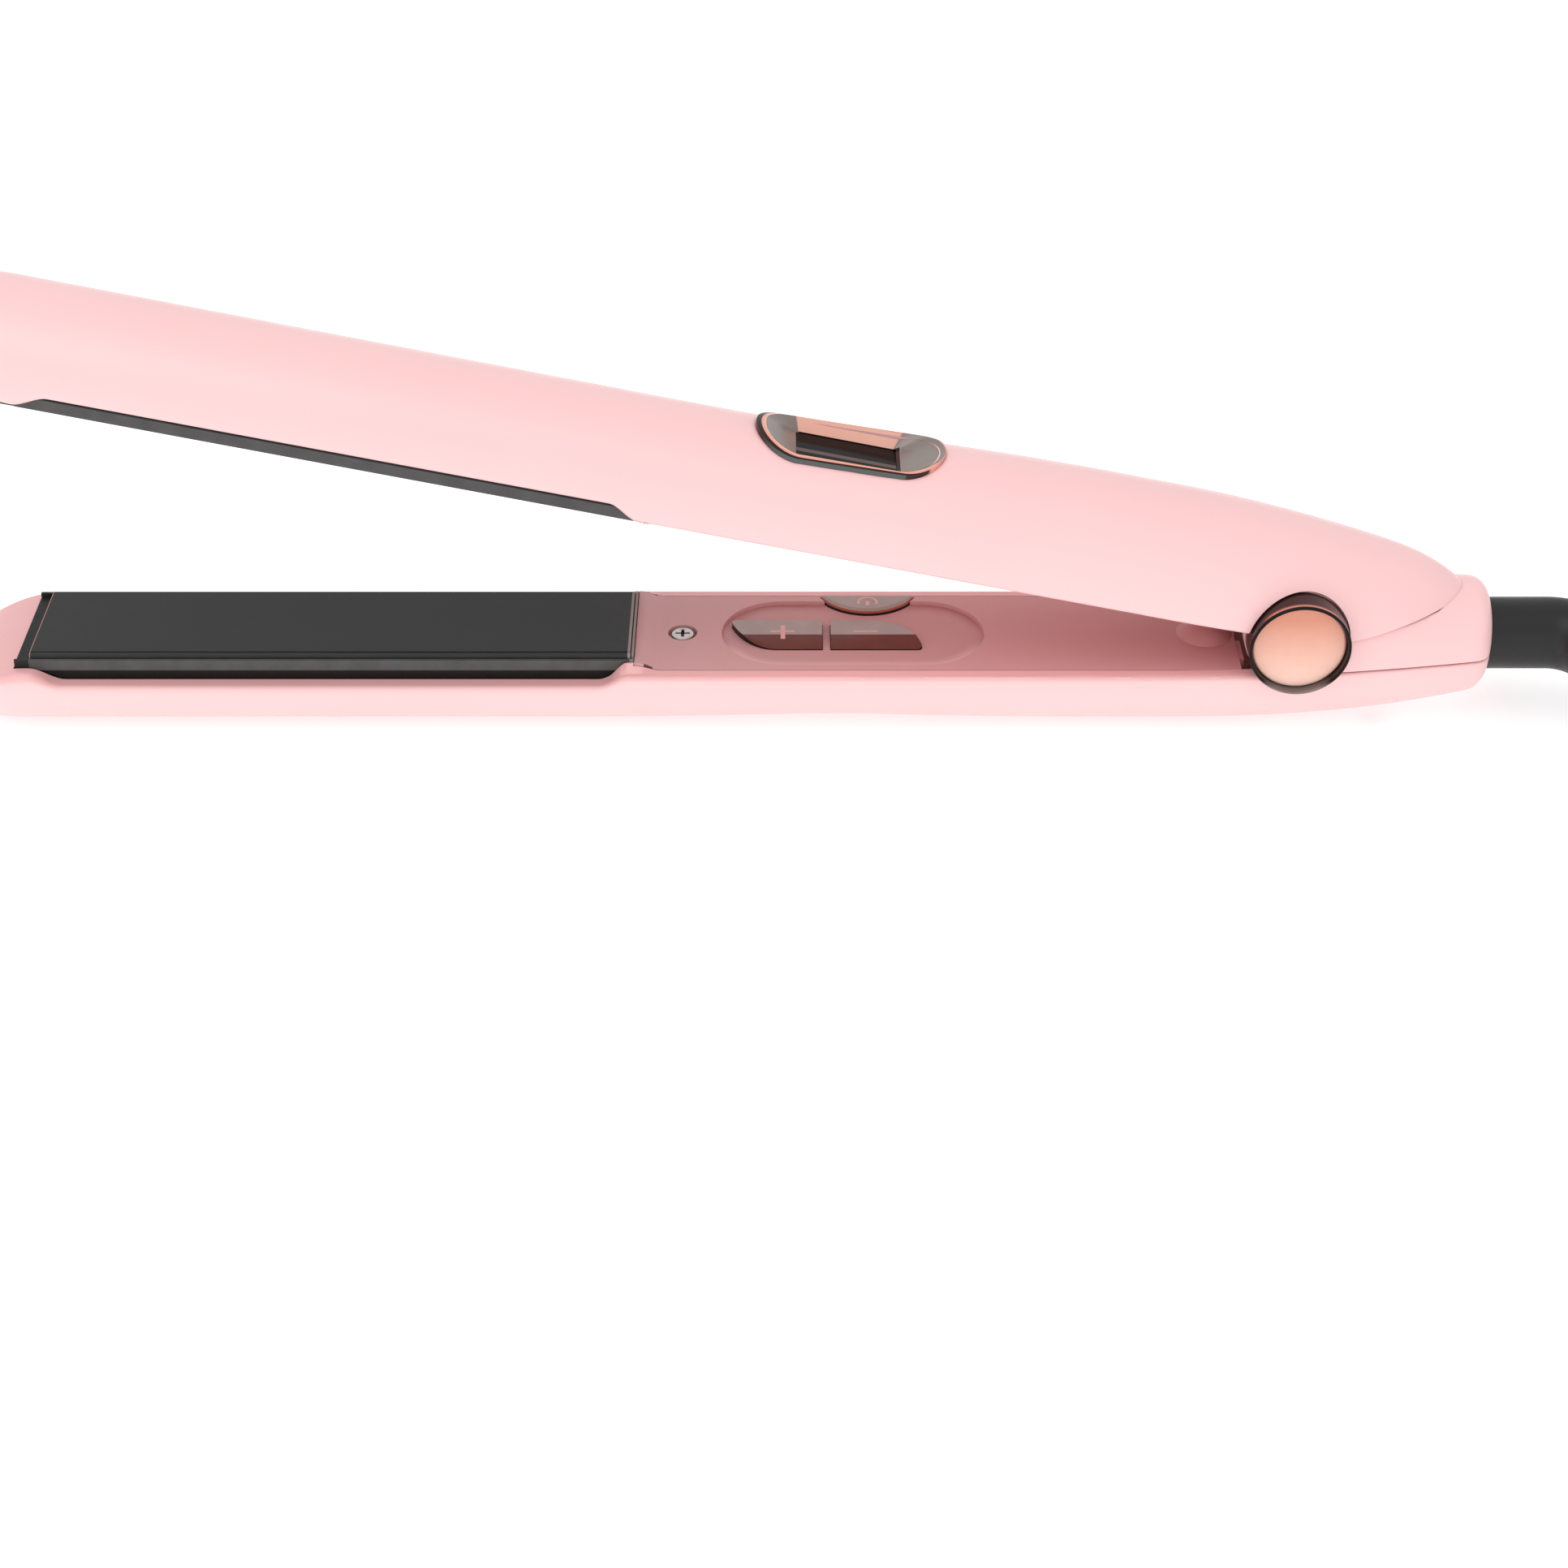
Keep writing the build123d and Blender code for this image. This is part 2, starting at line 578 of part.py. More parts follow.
def heater_clip():
    z = PARTING_Z - 1.8
    clip = block(-116, -34, -7.6, 7.6, z - 1.0, z)
    for x in (-115, -37):
        clip += block(x, x + 2.2, -7.6, 7.6, z - 0.2, PARTING_Z)
    return clip


def plate_cushions():
    pads = []
    for x in (-122, -34):
        for y in (-11.5, 9.1):
            pads.append(block(x, x + 9, y, y + 2.4, SHELF_Z[1], PARTING_Z - FLOAT_TRAVEL - 0.1))
    return Compound(pads)


def thermal_fuse():
    return x_rod(1.1, -34, -24, 0, TROUGH[1] + 0.8 + 1.15)


def thermistor():
    return x_rod(0.8, -80, -75, 0, TROUGH[1] + 0.8 + 0.85)


def lead_wires(z, x_end):
    return Compound([x_rod(0.6, -30, x_end, y, z) for y in (-3.8, 3.8)])


def control_board():
    board = block(-6.5, 62, -9.5, 9.5, BOARD_Z[0], BOARD_Z[1])
    for x, y, w, d, h in ((44, -3, 9, 6, 2.4), (52, 4, 6, 4, 2.0), (40, 6, 3, 2, 1.2)):
        board += block(x, x + w, y - d / 2, y + d / 2, BOARD_Z[1], BOARD_Z[1] + h)
    return board


def tact_switches():
    places = (((PLUS_X[0] + PLUS_X[1]) / 2, 0), ((MINUS_X[0] + MINUS_X[1]) / 2, 0),
              ((POWER_X[0] + POWER_X[1]) / 2, 7.3))
    switches = []
    for x, y in places:
        if y:
            switches.append(block(x - 2.2, x + 2.2, y, y + 2.2, BOARD_Z[1], SWITCH_TOP))
        else:
            switches.append(block(x - 2.5, x + 2.5, -2.5, 2.5, BOARD_Z[1], SWITCH_TOP))
    return Compound(switches)


def cross_screw(x, y, z_head, length):
    """Pan-head screw standing head up, with a cross recess."""
    head = post(SCREW_HEAD_RADIUS, x, y, z_head - SCREW_HEAD, z_head)
    head = head.fillet(0.35, head.edges().group_by(Axis.Z)[-1])
    screw = head + post(SCREW_SHAFT, x, y, z_head - SCREW_HEAD - length, z_head - SCREW_HEAD + 0.01)
    for wx, wy in ((1.35, 0.3), (0.3, 1.35)):
        screw -= block(x - wx, x + wx, y - wy, y + wy, z_head - 0.7, z_head + 1)
    return screw


def lower_cover_screw():
    seat = PARTING_Z - SCREW_RECESS_DEPTH
    return cross_screw(SCREW_X, 0, seat + SCREW_HEAD, 7.0)


def rear_cap():
    """Tail cap with the lower arm's two hinge knuckles."""
    stations = [x for x in TAIL_STATIONS if x >= 110]
    cap = hollow(stations, half_width, cap_height, PARTING_Z, 1, 2.0)
    cap += hollow(CORNER_STATIONS, half_width, cap_height, PARTING_Z, 1, 2.0, True)
    cap -= hollow(
        [108.0] + stations, lambda x: half_width(x) - 2.4, lambda x: cap_height(x) - 2.2,
        PARTING_Z, 1,
    )
    for side in (-1, 1):
        y0, y1 = sorted((side * KNUCKLE_Y[0], side * KNUCKLE_Y[1]))
        cap += block(HINGE_X + 2, 113, y0, y1, PARTING_Z, PARTING_Z + 5.5)
    cap -= block(100, 150, -30, 30, 0, PARTING_Z)
    cap -= rod(RING_RADIUS + 0.1, HINGE_X, HINGE_Z, KNUCKLE_Y[1], 30)
    cap -= rod(RING_RADIUS + 0.1, HINGE_X, HINGE_Z, -30, -KNUCKLE_Y[1])
    form = opened(upper_tail_form())
    for closing in (0, 2, 4):
        cap -= form.rotate(Axis((HINGE_X, 0, HINGE_Z), (0, 1, 0)), -closing)
    for side in (-1, 1):
        y0, y1 = sorted((side * KNUCKLE_Y[0], side * KNUCKLE_Y[1]))
        cap += rod(KNUCKLE_RADIUS, HINGE_X, HINGE_Z, y0, y1)
    for y in (-CAP_SCREW_Y, CAP_SCREW_Y):
        boss = post(2.3, CAP_SCREW_X, y, PARTING_Z, PARTING_Z + 9)
        cap += boss
        cap -= post(SCREW_SHAFT, CAP_SCREW_X, y, PARTING_Z - 1, PARTING_Z + 8)
    cap -= rod(PIN_RADIUS, HINGE_X, HINGE_Z, -20, 20)
    cap -= x_rod(SLEEVE_RADIUS + RUN_FIT, TAIL_X - TAIL_WALL - 1, TAIL_X + 1)
    return cap


def rear_cap_screws():
    screws = []
    for y in (-CAP_SCREW_Y, CAP_SCREW_Y):
        screw = cross_screw(CAP_SCREW_X, -y, -5.2 + SCREW_HEAD, 15.5)
        screws.append(screw.rotate(Axis((CAP_SCREW_X, 0, 0), (1, 0, 0)), 180))
    return Compound(screws)


# ---- hinge ---------------------------------------------------------------------------------
def hinge_ring(side):
    """Collar that stands out of the arm's side, with a floor behind its disc."""
    y0, y1 = sorted((side * KNUCKLE_Y[1], side * RING_FACE_Y))
    ring = rod(RING_RADIUS, HINGE_X, HINGE_Z, y0, y1)
    floor_y = RING_FACE_Y - DISC_RECESS - DISC_THICKNESS
    b0, b1 = sorted((side * floor_y, side * (RING_FACE_Y + 1)))
    ring -= rod(RING_BORE, HINGE_X, HINGE_Z, b0, b1)
    rim = [e for e in ring.edges() if abs(abs(e.center().Y) - RING_FACE_Y) < 0.01]
    return ring.fillet(0.25, rim)


def hinge_disc(side):
    floor_y = RING_FACE_Y - DISC_RECESS - DISC_THICKNESS
    y0, y1 = sorted((side * floor_y, side * (floor_y + DISC_THICKNESS)))
    disc = rod(DISC_RADIUS, HINGE_X, HINGE_Z, y0, y1)
    rim = [e for e in disc.edges() if abs(abs(e.center().Y) - floor_y - DISC_THICKNESS) < 0.01]
    return disc.fillet(0.5, rim)


def hinge_pin():
    return rod(PIN_RADIUS, HINGE_X, HINGE_Z, -KNUCKLE_Y[1], KNUCKLE_Y[1])


def hinge_bushes():
    bushes = []
    for side in (-1, 1):
        y0, y1 = sorted((side * EAR_Y[0], side * EAR_Y[1]))
        bush = rod(BUSH_RADIUS, HINGE_X, HINGE_Z, y0, y1)
        bushes.append(bush - rod(PIN_RADIUS + RUN_FIT, HINGE_X, HINGE_Z, -20, 20))
    return Compound(bushes)


def opening_spring():
    """Torsion spring round the pin, with one leg towards each arm."""
    pitch = 2 * SPRING_WIRE + 0.15
    height = pitch * SPRING_TURNS
    path = Wire([Edge.make_helix(pitch, height, SPRING_RADIUS)])
    start = path.position_at(0)
    profile = Plane(start, z_dir=path.tangent_at(0))
    ring = Face(Wire([Edge.make_circle(SPRING_WIRE, profile)]))
    coil = Solid.sweep(ring, path)
    coil = coil.rotate(Axis.X, -90).moved(Location((HINGE_X, -height / 2, HINGE_Z)))
    return coil


# ---- upper arm, made parallel to the lower arm and then opened ---------------------------------
def tail_cutter(drop=0.0):
    """Everything under the sloping lower edge of the upper arm's tail."""
    x0, x1 = HINGE_X + 5.5, HINGE_X + 45.0
    z0 = HINGE_Z - drop
    z1 = HINGE_Z + TAIL_SLOPE * (x1 - x0) - drop
    return xz_prism([
        Edge.make_line((x0, 0, z0), (x1, 0, z1)),
        Edge.make_line((x1, 0, z1), (x1, 0, z0 - 8)),
        Edge.make_line((x1, 0, z0 - 8), (x0, 0, z0 - 8)),
        Edge.make_line((x0, 0, z0 - 8), (x0, 0, z0)),
    ], -30, 30)


def upper_tail_form():
    """Room that the upper shell's tail takes, with clearance all round."""
    form = upper_outer() & block(HINGE_X, 150, -30, 30, HINGE_Z, 60)
    return form - tail_cutter(0.25) - upper_cavity(0.25)


def bezel_column(grow, z0, z1):
    slot = SlotOverall(BEZEL_LENGTH + 2 * grow, BEZEL_WIDTH + 2 * grow)
    return extrude(Pos(BEZEL_X, 0, z0) * slot, z1 - z0)


def upper_shell():
    shell = upper_outer()
    for ridge in plate_shoulders():
        shell += mirror_up(ridge)
    shell = shell - upper_cavity() - plate_pocket(HINGE_Z, 1)
    shell -= tail_cutter()
    shell -= rod(KNUCKLE_NOTCH, HINGE_X, HINGE_Z, -20, 20)
    shell += post(BOSS_RADIUS, SCREW_X, 0, HINGE_Z + COVER_THICKNESS, HINGE_Z + upper_depth(SCREW_X) - 0.8)
    shell -= post(SCREW_SHAFT, SCREW_X, 0, HINGE_Z, HINGE_Z + 11.5)
    return shell - bezel_column(-1.2, HINGE_Z + 6, 60)


def upper_inner_cover():
    cover = mirror_up(cover_slab())
    for side in (-1, 1):
        y0, y1 = sorted((side * EAR_Y[0], side * EAR_Y[1]))
        cover += block(85, HINGE_X, y0, y1, HINGE_Z + 0.5, HINGE_Z + EAR_RADIUS)
        cover += rod(EAR_RADIUS, HINGE_X, HINGE_Z, y0, y1)
        cover -= rod(BUSH_RADIUS, HINGE_X, HINGE_Z, y0, y1)
    return cover


def display_top():
    return HINGE_Z + upper_depth(BEZEL_X)


def display_bezel():
    """Proud capsule frame whose faces slope down to a window."""
    skin = arm_loft(
        mid_stations(BEZEL_X - 24, BEZEL_X + 24, 12), lambda x: upper_half_width(x) + BEZEL_STAND,
        lambda x: upper_depth(x) + BEZEL_STAND, EXTRA, HINGE_Z, 1,
    )
    top = display_top()
    floor_z = top + BEZEL_STAND - BEZEL_RECESS
    bezel = (bezel_column(0, top - 2.6, 60) & skin) - upper_outer()
    bezel += bezel_column(-1.25, floor_z - 1.6, 60) & skin
    high = top + BEZEL_STAND + 1.0
    size = (BEZEL_LENGTH + 1.4, BEZEL_WIDTH + 1.4)
    mouth = Plane((BEZEL_X, 0, high)) * RectangleRounded(*size, BEZEL_WIDTH / 2 + 0.6)
    window = Plane((BEZEL_X, 0, floor_z)) * RectangleRounded(*WINDOW, 0.6)
    bezel -= loft([window.face(), mouth.face()])
    return bezel - extrude(Plane((BEZEL_X, 0, floor_z - 4)) * Rectangle(WINDOW[0], WINDOW[1]), 5)


def display_lens():
    z = display_top() + BEZEL_STAND - BEZEL_RECESS
    x, y = WINDOW[0] / 2 - 0.05, WINDOW[1] / 2 - 0.05
    return block(BEZEL_X - x, BEZEL_X + x, -y, y, z - 1.1, z - 0.1)


def display_board():
    z = display_top() + BEZEL_STAND - BEZEL_RECESS - 6.4
    board = block(BEZEL_X - 15, BEZEL_X + 15, -7, 7, z, z + 1.2)
    return board + block(BEZEL_X - 8.5, BEZEL_X + 8.5, -2.6, 2.6, z + 1.2, z + 5.0)


# ---- swivel cord outlet and cord -----------------------------------------------------------
def elbow_end():
    turn = math.radians(ELBOW_TURN)
    x = ELBOW_X + ELBOW_BEND * math.sin(turn)
    y = -ELBOW_BEND * (1 - math.cos(turn))
    return Vector(x, y, PARTING_Z)


def outlet_direction():
    turn = math.radians(ELBOW_TURN)
    return Vector(math.cos(turn), -math.sin(turn), 0)


def swivel_sleeve():
    """Rubber sleeve that turns in the tail wall and bends towards the user."""
    wall_x = TAIL_X - TAIL_WALL - 0.2
    sleeve = x_rod(5.0, wall_x - 6.4, wall_x - 1.9) + x_rod(SLEEVE_FLANGE_RADIUS, wall_x - 2.0, wall_x - 0.1)
    sleeve += x_rod(SLEEVE_RADIUS, wall_x - 0.2, ELBOW_X)
    ring = Face(Wire([Edge.make_circle(SLEEVE_RADIUS, Plane((ELBOW_X, 0, PARTING_Z), z_dir=(1, 0, 0)))]))
    axis = Axis((ELBOW_X, -ELBOW_BEND, 0), (0, 0, -1))
    return sleeve + Solid.revolve(ring, ELBOW_TURN, axis)


def swivel_clip():
    wall_x = TAIL_X - TAIL_WALL - 0.2
    clip = x_rod(7.2, wall_x - 3.3, wall_x - 2.1) - x_rod(5.0 + RUN_FIT, wall_x - 4, wall_x - 1)
    return clip - block(wall_x - 4, wall_x - 1, -1.2, 1.2, PARTING_Z - 9, PARTING_Z)


def strain_relief():
    """Tapered sleeve on the cord, with flexing grooves."""
    base = Plane(elbow_end(), z_dir=outlet_direction())
    relief = Solid.make_cone(SLEEVE_RADIUS, RELIEF_END_RADIUS, RELIEF_LENGTH, base)
    for i in range(RELIEF_GROOVES):
        along = 8.0 + 5.0 * i
        radius = SLEEVE_RADIUS + (RELIEF_END_RADIUS - SLEEVE_RADIUS) * along / RELIEF_LENGTH
        at = Plane(elbow_end() + outlet_direction() * along, z_dir=outlet_direction())
        relief -= Solid.make_cylinder(radius + 1, 1.8, at) - Solid.make_cylinder(radius - 0.9, 1.8, at)
    return relief


def cord_run(points):
    """Tube along straight runs joined by tangent arcs."""
    vectors = [Vector(*p) for p in points]
    radii = []
    for before, corner, after in zip(vectors, vectors[1:], vectors[2:]):
        turn = math.radians((corner - before).get_angle(after - corner))
        shorter = min((corner - before).length, (after - corner).length)
        radii.append(0.45 * shorter / math.tan(turn / 2))
    path = FilletPolyline(*points, radius=radii)
    ring = Plane(path @ 0, z_dir=path % 0) * Circle(CORD_DIAMETER / 2)
    return sweep(ring, path=path).solid()


def hank_form(grow, z0, z1):
    """Racetrack outline of the folded cord, grown or shrunk by grow."""
    middle = HANK_X + HANK_RUN / 2
    outer = HANK_FOLD + 1.5 * CORD_DIAMETER + grow
    inner = HANK_FOLD - 0.5 * CORD_DIAMETER - grow
    form = extrude(Pos(middle, HANK_Y, z0) * SlotCenterToCenter(HANK_RUN, 2 * outer), z1 - z0)
    return form - extrude(Pos(middle, HANK_Y, z0 - 1) * SlotCenterToCenter(HANK_RUN, 2 * inner), z1 - z0 + 2)


def tie_box(grow):
    half = HANK_FOLD + 1.5 * CORD_DIAMETER - 0.8 + grow
    x = HANK_X + HANK_RUN / 2
    return block(x - 6, x + 6, HANK_Y - half, HANK_Y + half, 0.8 - grow, HANK_HEIGHT - 0.8 + grow)


def cord_hank():
    """Six turns, two side by side and three high, pinched where the tie goes round."""
    hank = hank_form(0, 0, HANK_HEIGHT) - cord_run(CORD_ROUTE) - cord_run(CORD_END_ROUTE)
    x = HANK_X + HANK_RUN / 2
    slice_at_tie = block(x - 6, x + 6, HANK_Y - 40, HANK_Y + 40, -1, HANK_HEIGHT + 1)
    return (hank - slice_at_tie) + (hank & tie_box(0))


def cord_tie():
    return tie_box(0.8) - tie_box(0)


def plug_body():
    x, y, z = CORD_END_ROUTE[-1]
    neck = Solid.make_cone(3.6, 5.6, 14, Plane((x, y, z), z_dir=(1, 0, 0)))
    start = Plane((x + 10, y, z), x_dir=(0, 1, 0), z_dir=(1, 0, 0))
    body = loft([
        (start * SlotOverall(16, 11.0)).face(),
        (start.offset(9) * SlotOverall(PLUG_WIDTH, PLUG_HEIGHT)).face(),
        (start.offset(30) * SlotOverall(PLUG_WIDTH, PLUG_HEIGHT)).face(),
    ], ruled=True)
    return neck + body


def plug_pins():
    x, y, z = CORD_END_ROUTE[-1]
    pins = []
    for side in (-1, 1):
        pin = x_rod(2.0, x + 40, x + 59, y + side * 9.5, z)
        tip = pin.faces().sort_by(Axis.X)[-1].edges()
        pins.append(pin.fillet(1.2, tip))
    return Compound(pins)


# ---- the pieces ------------------------------------------------------------------------------
LOWER = {
    "lower_shell": lower_shell,
    "lower_inner_cover": lower_inner_cover,
    "lower_plate": lambda: plate(PARTING_Z),
    "lower_plate_holder": plate_holder,
    "lower_heater": heater,
    "lower_heater_clip": heater_clip,
    "lower_plate_cushions": plate_cushions,
    "lower_thermal_fuse": thermal_fuse,
    "lower_thermistor": thermistor,
    "lower_lead_wires": lambda: lead_wires(10.0, -6.6),
    "lower_cover_screw": lower_cover_screw,
    "control_board": control_board,
    "tact_switches": tact_switches,
    "plus_button": lambda: level_button(plus_outline),
    "minus_button": lambda: level_button(minus_outline),
    "power_button": power_button,
    "rear_cap": rear_cap,
    "rear_cap_screws": rear_cap_screws,
    "hinge_ring_left": lambda: hinge_ring(-1),
    "hinge_ring_right": lambda: hinge_ring(1),
    "hinge_disc_left": lambda: hinge_disc(-1),
    "hinge_disc_right": lambda: hinge_disc(1),
    "hinge_pin": hinge_pin,
    "opening_spring": opening_spring,
    "swivel_clip": swivel_clip,
    "swivel_sleeve": swivel_sleeve,
    "strain_relief": strain_relief,
    "cord_tube": lambda: cord_run(CORD_ROUTE),
    "cord_hank": cord_hank,
    "cord_end_tube": lambda: cord_run(CORD_END_ROUTE),
    "cord_tie": cord_tie,
    "plug_body": plug_body,
    "plug_pins": plug_pins,
}
UPPER = {
    "upper_shell": upper_shell,
    "upper_inner_cover": upper_inner_cover,
    "upper_plate": lambda: mirror_up(plate(PARTING_Z)),
    "upper_plate_holder": lambda: mirror_up(plate_holder()),
    "upper_heater": lambda: mirror_up(heater()),
    "upper_heater_clip": lambda: mirror_up(heater_clip()),
    "upper_plate_cushions": lambda: mirror_up(plate_cushions()),
    "upper_thermistor": lambda: mirror_up(thermistor()),
    "upper_lead_wires": lambda: mirror_up(lead_wires(10.0, 0.0)),
    "upper_cover_screw": lambda: mirror_up(lower_cover_screw()),
    "display_bezel": display_bezel,
    "display_lens": display_lens,
    "display_board": display_board,
    "hinge_bushes": hinge_bushes,
}


def save(shape, name):
    """Writes a piece with the origin under the middle of the iron's own box."""
    middle_x = (nose_stations()[0] + TAIL_X) / 2
    export_step(shape.moved(Location((-middle_x, 0, 0))), f"parts/{name}.step")


def main():
    os.makedirs("parts", exist_ok=True)
    for name, make in LOWER.items():
        save(make(), name)
    for name, make in UPPER.items():
        save(opened(make()), name)


main()
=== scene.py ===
import json
import math

import bmesh
import bpy
from mathutils import Matrix, Vector


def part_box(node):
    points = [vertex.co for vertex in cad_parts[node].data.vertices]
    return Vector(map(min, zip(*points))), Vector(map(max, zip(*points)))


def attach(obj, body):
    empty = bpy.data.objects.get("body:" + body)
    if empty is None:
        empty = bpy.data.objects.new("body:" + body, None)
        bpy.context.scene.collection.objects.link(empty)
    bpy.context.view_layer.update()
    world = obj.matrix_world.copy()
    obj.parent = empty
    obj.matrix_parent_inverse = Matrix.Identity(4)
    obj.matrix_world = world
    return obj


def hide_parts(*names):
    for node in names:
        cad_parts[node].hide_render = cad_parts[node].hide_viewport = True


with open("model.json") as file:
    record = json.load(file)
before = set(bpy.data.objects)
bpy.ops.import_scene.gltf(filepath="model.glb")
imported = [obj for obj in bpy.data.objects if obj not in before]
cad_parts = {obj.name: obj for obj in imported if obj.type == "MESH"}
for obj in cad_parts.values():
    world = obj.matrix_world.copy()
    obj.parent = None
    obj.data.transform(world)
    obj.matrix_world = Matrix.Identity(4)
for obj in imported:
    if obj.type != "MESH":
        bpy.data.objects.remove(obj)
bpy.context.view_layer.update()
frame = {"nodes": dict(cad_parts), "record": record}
NODES = frame["nodes"]
SCENE = bpy.context.scene
MM = 0.001

# ---- directions, and the frame of the open upper arm --------------------------------------------
ALONG, FRONT, UP, DOWN = (1, 0, 0), (0, -1, 0), (0, 0, 1), (0, 0, -1)
HINGE = Vector((0.1065562, 0, 0.0222))
OPENING = Matrix.Rotation(math.radians(12.0), 3, "Y")
UPPER_ALONG = OPENING @ Vector(ALONG)
UPPER_DOWN = OPENING @ Vector(DOWN)


def opened(point):
    """A point of the upper arm, given parallel to the lower arm, where it is with the arm open."""
    return OPENING @ (Vector(point) - HINGE) + HINGE


# ---- small helpers for node materials -----------------------------------------------------------
# Where a name below holds a pair of lengths, a mask's change begins at the first and is complete at the second.
NOISE_MIDDLE = (0.3, 0.7)
CREVICE_REACH = 0.0006
WHITE = (1, 1, 1, 1)


def srgb(r, g, b):
    """A display colour, 0 to 255, as linear light."""
    def lin(c):
        c = c / 255
        return c / 12.92 if c <= 0.04045 else ((c + 0.055) / 1.055) ** 2.4
    return (lin(r), lin(g), lin(b), 1.0)


def shade(colour, factor):
    """colour with its light scaled by factor."""
    return tuple(c * factor for c in colour[:3]) + (1,)


class Shader:
    """A Principled material and the nodes that feed it, in the object's own coordinates."""

    def __init__(self, name, **values):
        self.mat = bpy.data.materials.new(name)
        self.mat.use_nodes = True
        self.tree = self.mat.node_tree
        self.bsdf = self.tree.nodes["Principled BSDF"]
        for key, value in values.items():
            self.bsdf.inputs[key.replace("_", " ")].default_value = value
        self.place = self.node("ShaderNodeTexCoord").outputs["Object"]

    def node(self, kind, **settings):
        made = self.tree.nodes.new(kind)
        for key, value in settings.items():
            setattr(made, key, value)
        return made

    def link(self, out, to):
        self.tree.links.new(out, to)

    def math(self, operation, a, b=0.0):
        made = self.node("ShaderNodeMath", operation=operation)
        for i, value in enumerate((a, b)):
            if isinstance(value, (int, float)):
                made.inputs[i].default_value = value
            else:
                self.link(value, made.inputs[i])
        return made.outputs[0]

    def times(self, a, b):
        return self.math("MULTIPLY", a, b)

    def size(self, value):
        return self.math("ABSOLUTE", value)

    def mix(self, factor, a, b):
        made = self.node("ShaderNodeMix", data_type="RGBA")
        for socket, value in ((made.inputs[0], factor), (made.inputs[6], a), (made.inputs[7], b)):
            if isinstance(value, (int, float, tuple)):
                socket.default_value = value
            else:
                self.link(value, socket)
        return made.outputs[2]

    def tint(self, base, mask, colour, strength):
        """base, turned towards colour by strength where mask is 1."""
        return self.mix(self.times(mask, strength), base, colour)

    def span(self, value, low, high, to_low, to_high, smooth=False):
        """value's range from low to high, mapped onto to_low to to_high and clamped there."""
        made = self.node("ShaderNodeMapRange")
        made.interpolation_type = "SMOOTHSTEP" if smooth else "LINEAR"
        made.clamp = True
        for i, number in enumerate((low, high, to_low, to_high)):
            made.inputs[i + 1].default_value = number
        self.link(value, made.inputs["Value"])
        return made.outputs["Result"]

    def rise(self, value, low, high, smooth=False):
        """A mask that is 0 up to low and 1 from high on."""
        return self.span(value, low, high, 0, 1, smooth)

    def fall(self, value, low, high):
        """A mask that is 1 up to low and 0 from high on."""
        return self.span(value, low, high, 1, 0)

    def noise(self, scale, detail=3.0, rough=0.5, stretch=None):
        made = self.node("ShaderNodeTexNoise")
        made.inputs["Scale"].default_value = scale
        made.inputs["Detail"].default_value = detail
        made.inputs["Roughness"].default_value = rough
        place = self.place
        if stretch:
            mapping = self.node("ShaderNodeMapping")
            mapping.inputs["Scale"].default_value = stretch
            self.link(place, mapping.inputs["Vector"])
            place = mapping.outputs[0]
        self.link(place, made.inputs["Vector"])
        return made.outputs["Fac"]

    def cloud(self, scale, detail=3.0, rough=0.5, stretch=None):
        """Noise with its middle spread over 0 to 1."""
        return self.rise(self.noise(scale, detail, rough, stretch), *NOISE_MIDDLE)

    def axis(self, name):
        split = self.node("ShaderNodeSeparateXYZ")
        self.link(self.place, split.inputs[0])
        return split.outputs[name]

    def dot(self, vector, direction):
        made = self.node("ShaderNodeVectorMath", operation="DOT_PRODUCT")
        self.link(vector, made.inputs[0])
        made.inputs[1].default_value = direction
        return made.outputs["Value"]

    def along(self, direction, origin):
        """Distance of a point from origin along direction."""
        shift = self.node("ShaderNodeVectorMath", operation="SUBTRACT")
        self.link(self.place, shift.inputs[0])
        shift.inputs[1].default_value = origin
        return self.dot(shift.outputs[0], direction)

    def facing(self, direction):
        """How far the surface faces a direction of the object."""
        return self.dot(self.node("ShaderNodeNewGeometry").outputs["Normal"], direction)

    def slot_distance(self, x, y, half_run):
        """Distance from the middle line of a slot that runs half_run either way along x."""
        past = self.math("MAXIMUM", self.math("SUBTRACT", self.size(x), half_run), 0.0)
        return self.math("SQRT", self.math("ADD", self.times(past, past), self.times(y, y)))

    def crevice_shade(self, colour, dark):
        """colour, turned towards dark where another surface lies within reach: painted shade in seams and
        crevices.
        """
        made = self.node("ShaderNodeAmbientOcclusion", samples=8)
        made.inputs["Distance"].default_value = CREVICE_REACH
        return self.mix(self.rise(made.outputs["AO"], 0.35, 0.95), dark, colour)

    def colour(self, out):
        self.link(out, self.bsdf.inputs["Base Color"])

    def rough(self, out):
        self.link(out, self.bsdf.inputs["Roughness"])

    def patchy_rough(self, noise, low, high):
        """Roughness that wanders from low to high with the noise."""
        self.rough(self.span(noise, *NOISE_MIDDLE, low, high))

    def bump(self, height, distance, strength=1.0):
        made = self.node("ShaderNodeBump")
        made.inputs["Distance"].default_value = distance
        made.inputs["Strength"].default_value = strength
        self.link(height, made.inputs["Height"])
        self.link(made.outputs[0], self.bsdf.inputs["Normal"])


def grained(name, colour, rough, spread=0.06, tint=0.93, scale=900, depth=0.00002, **values):
    """Moulded or coated surface: cloudy tint, patchy roughness and a fine grain."""
    s = Shader(name, **values)
    s.colour(s.mix(s.cloud(38, 4), shade(colour, tint), colour))
    s.patchy_rough(s.noise(130, 4, 0.6), rough - spread, rough + spread)
    s.bump(s.noise(scale, 3, 0.6), depth)
    return s


def plain(name, colour, rough, **values):
    return grained(name, colour, rough, **values).mat


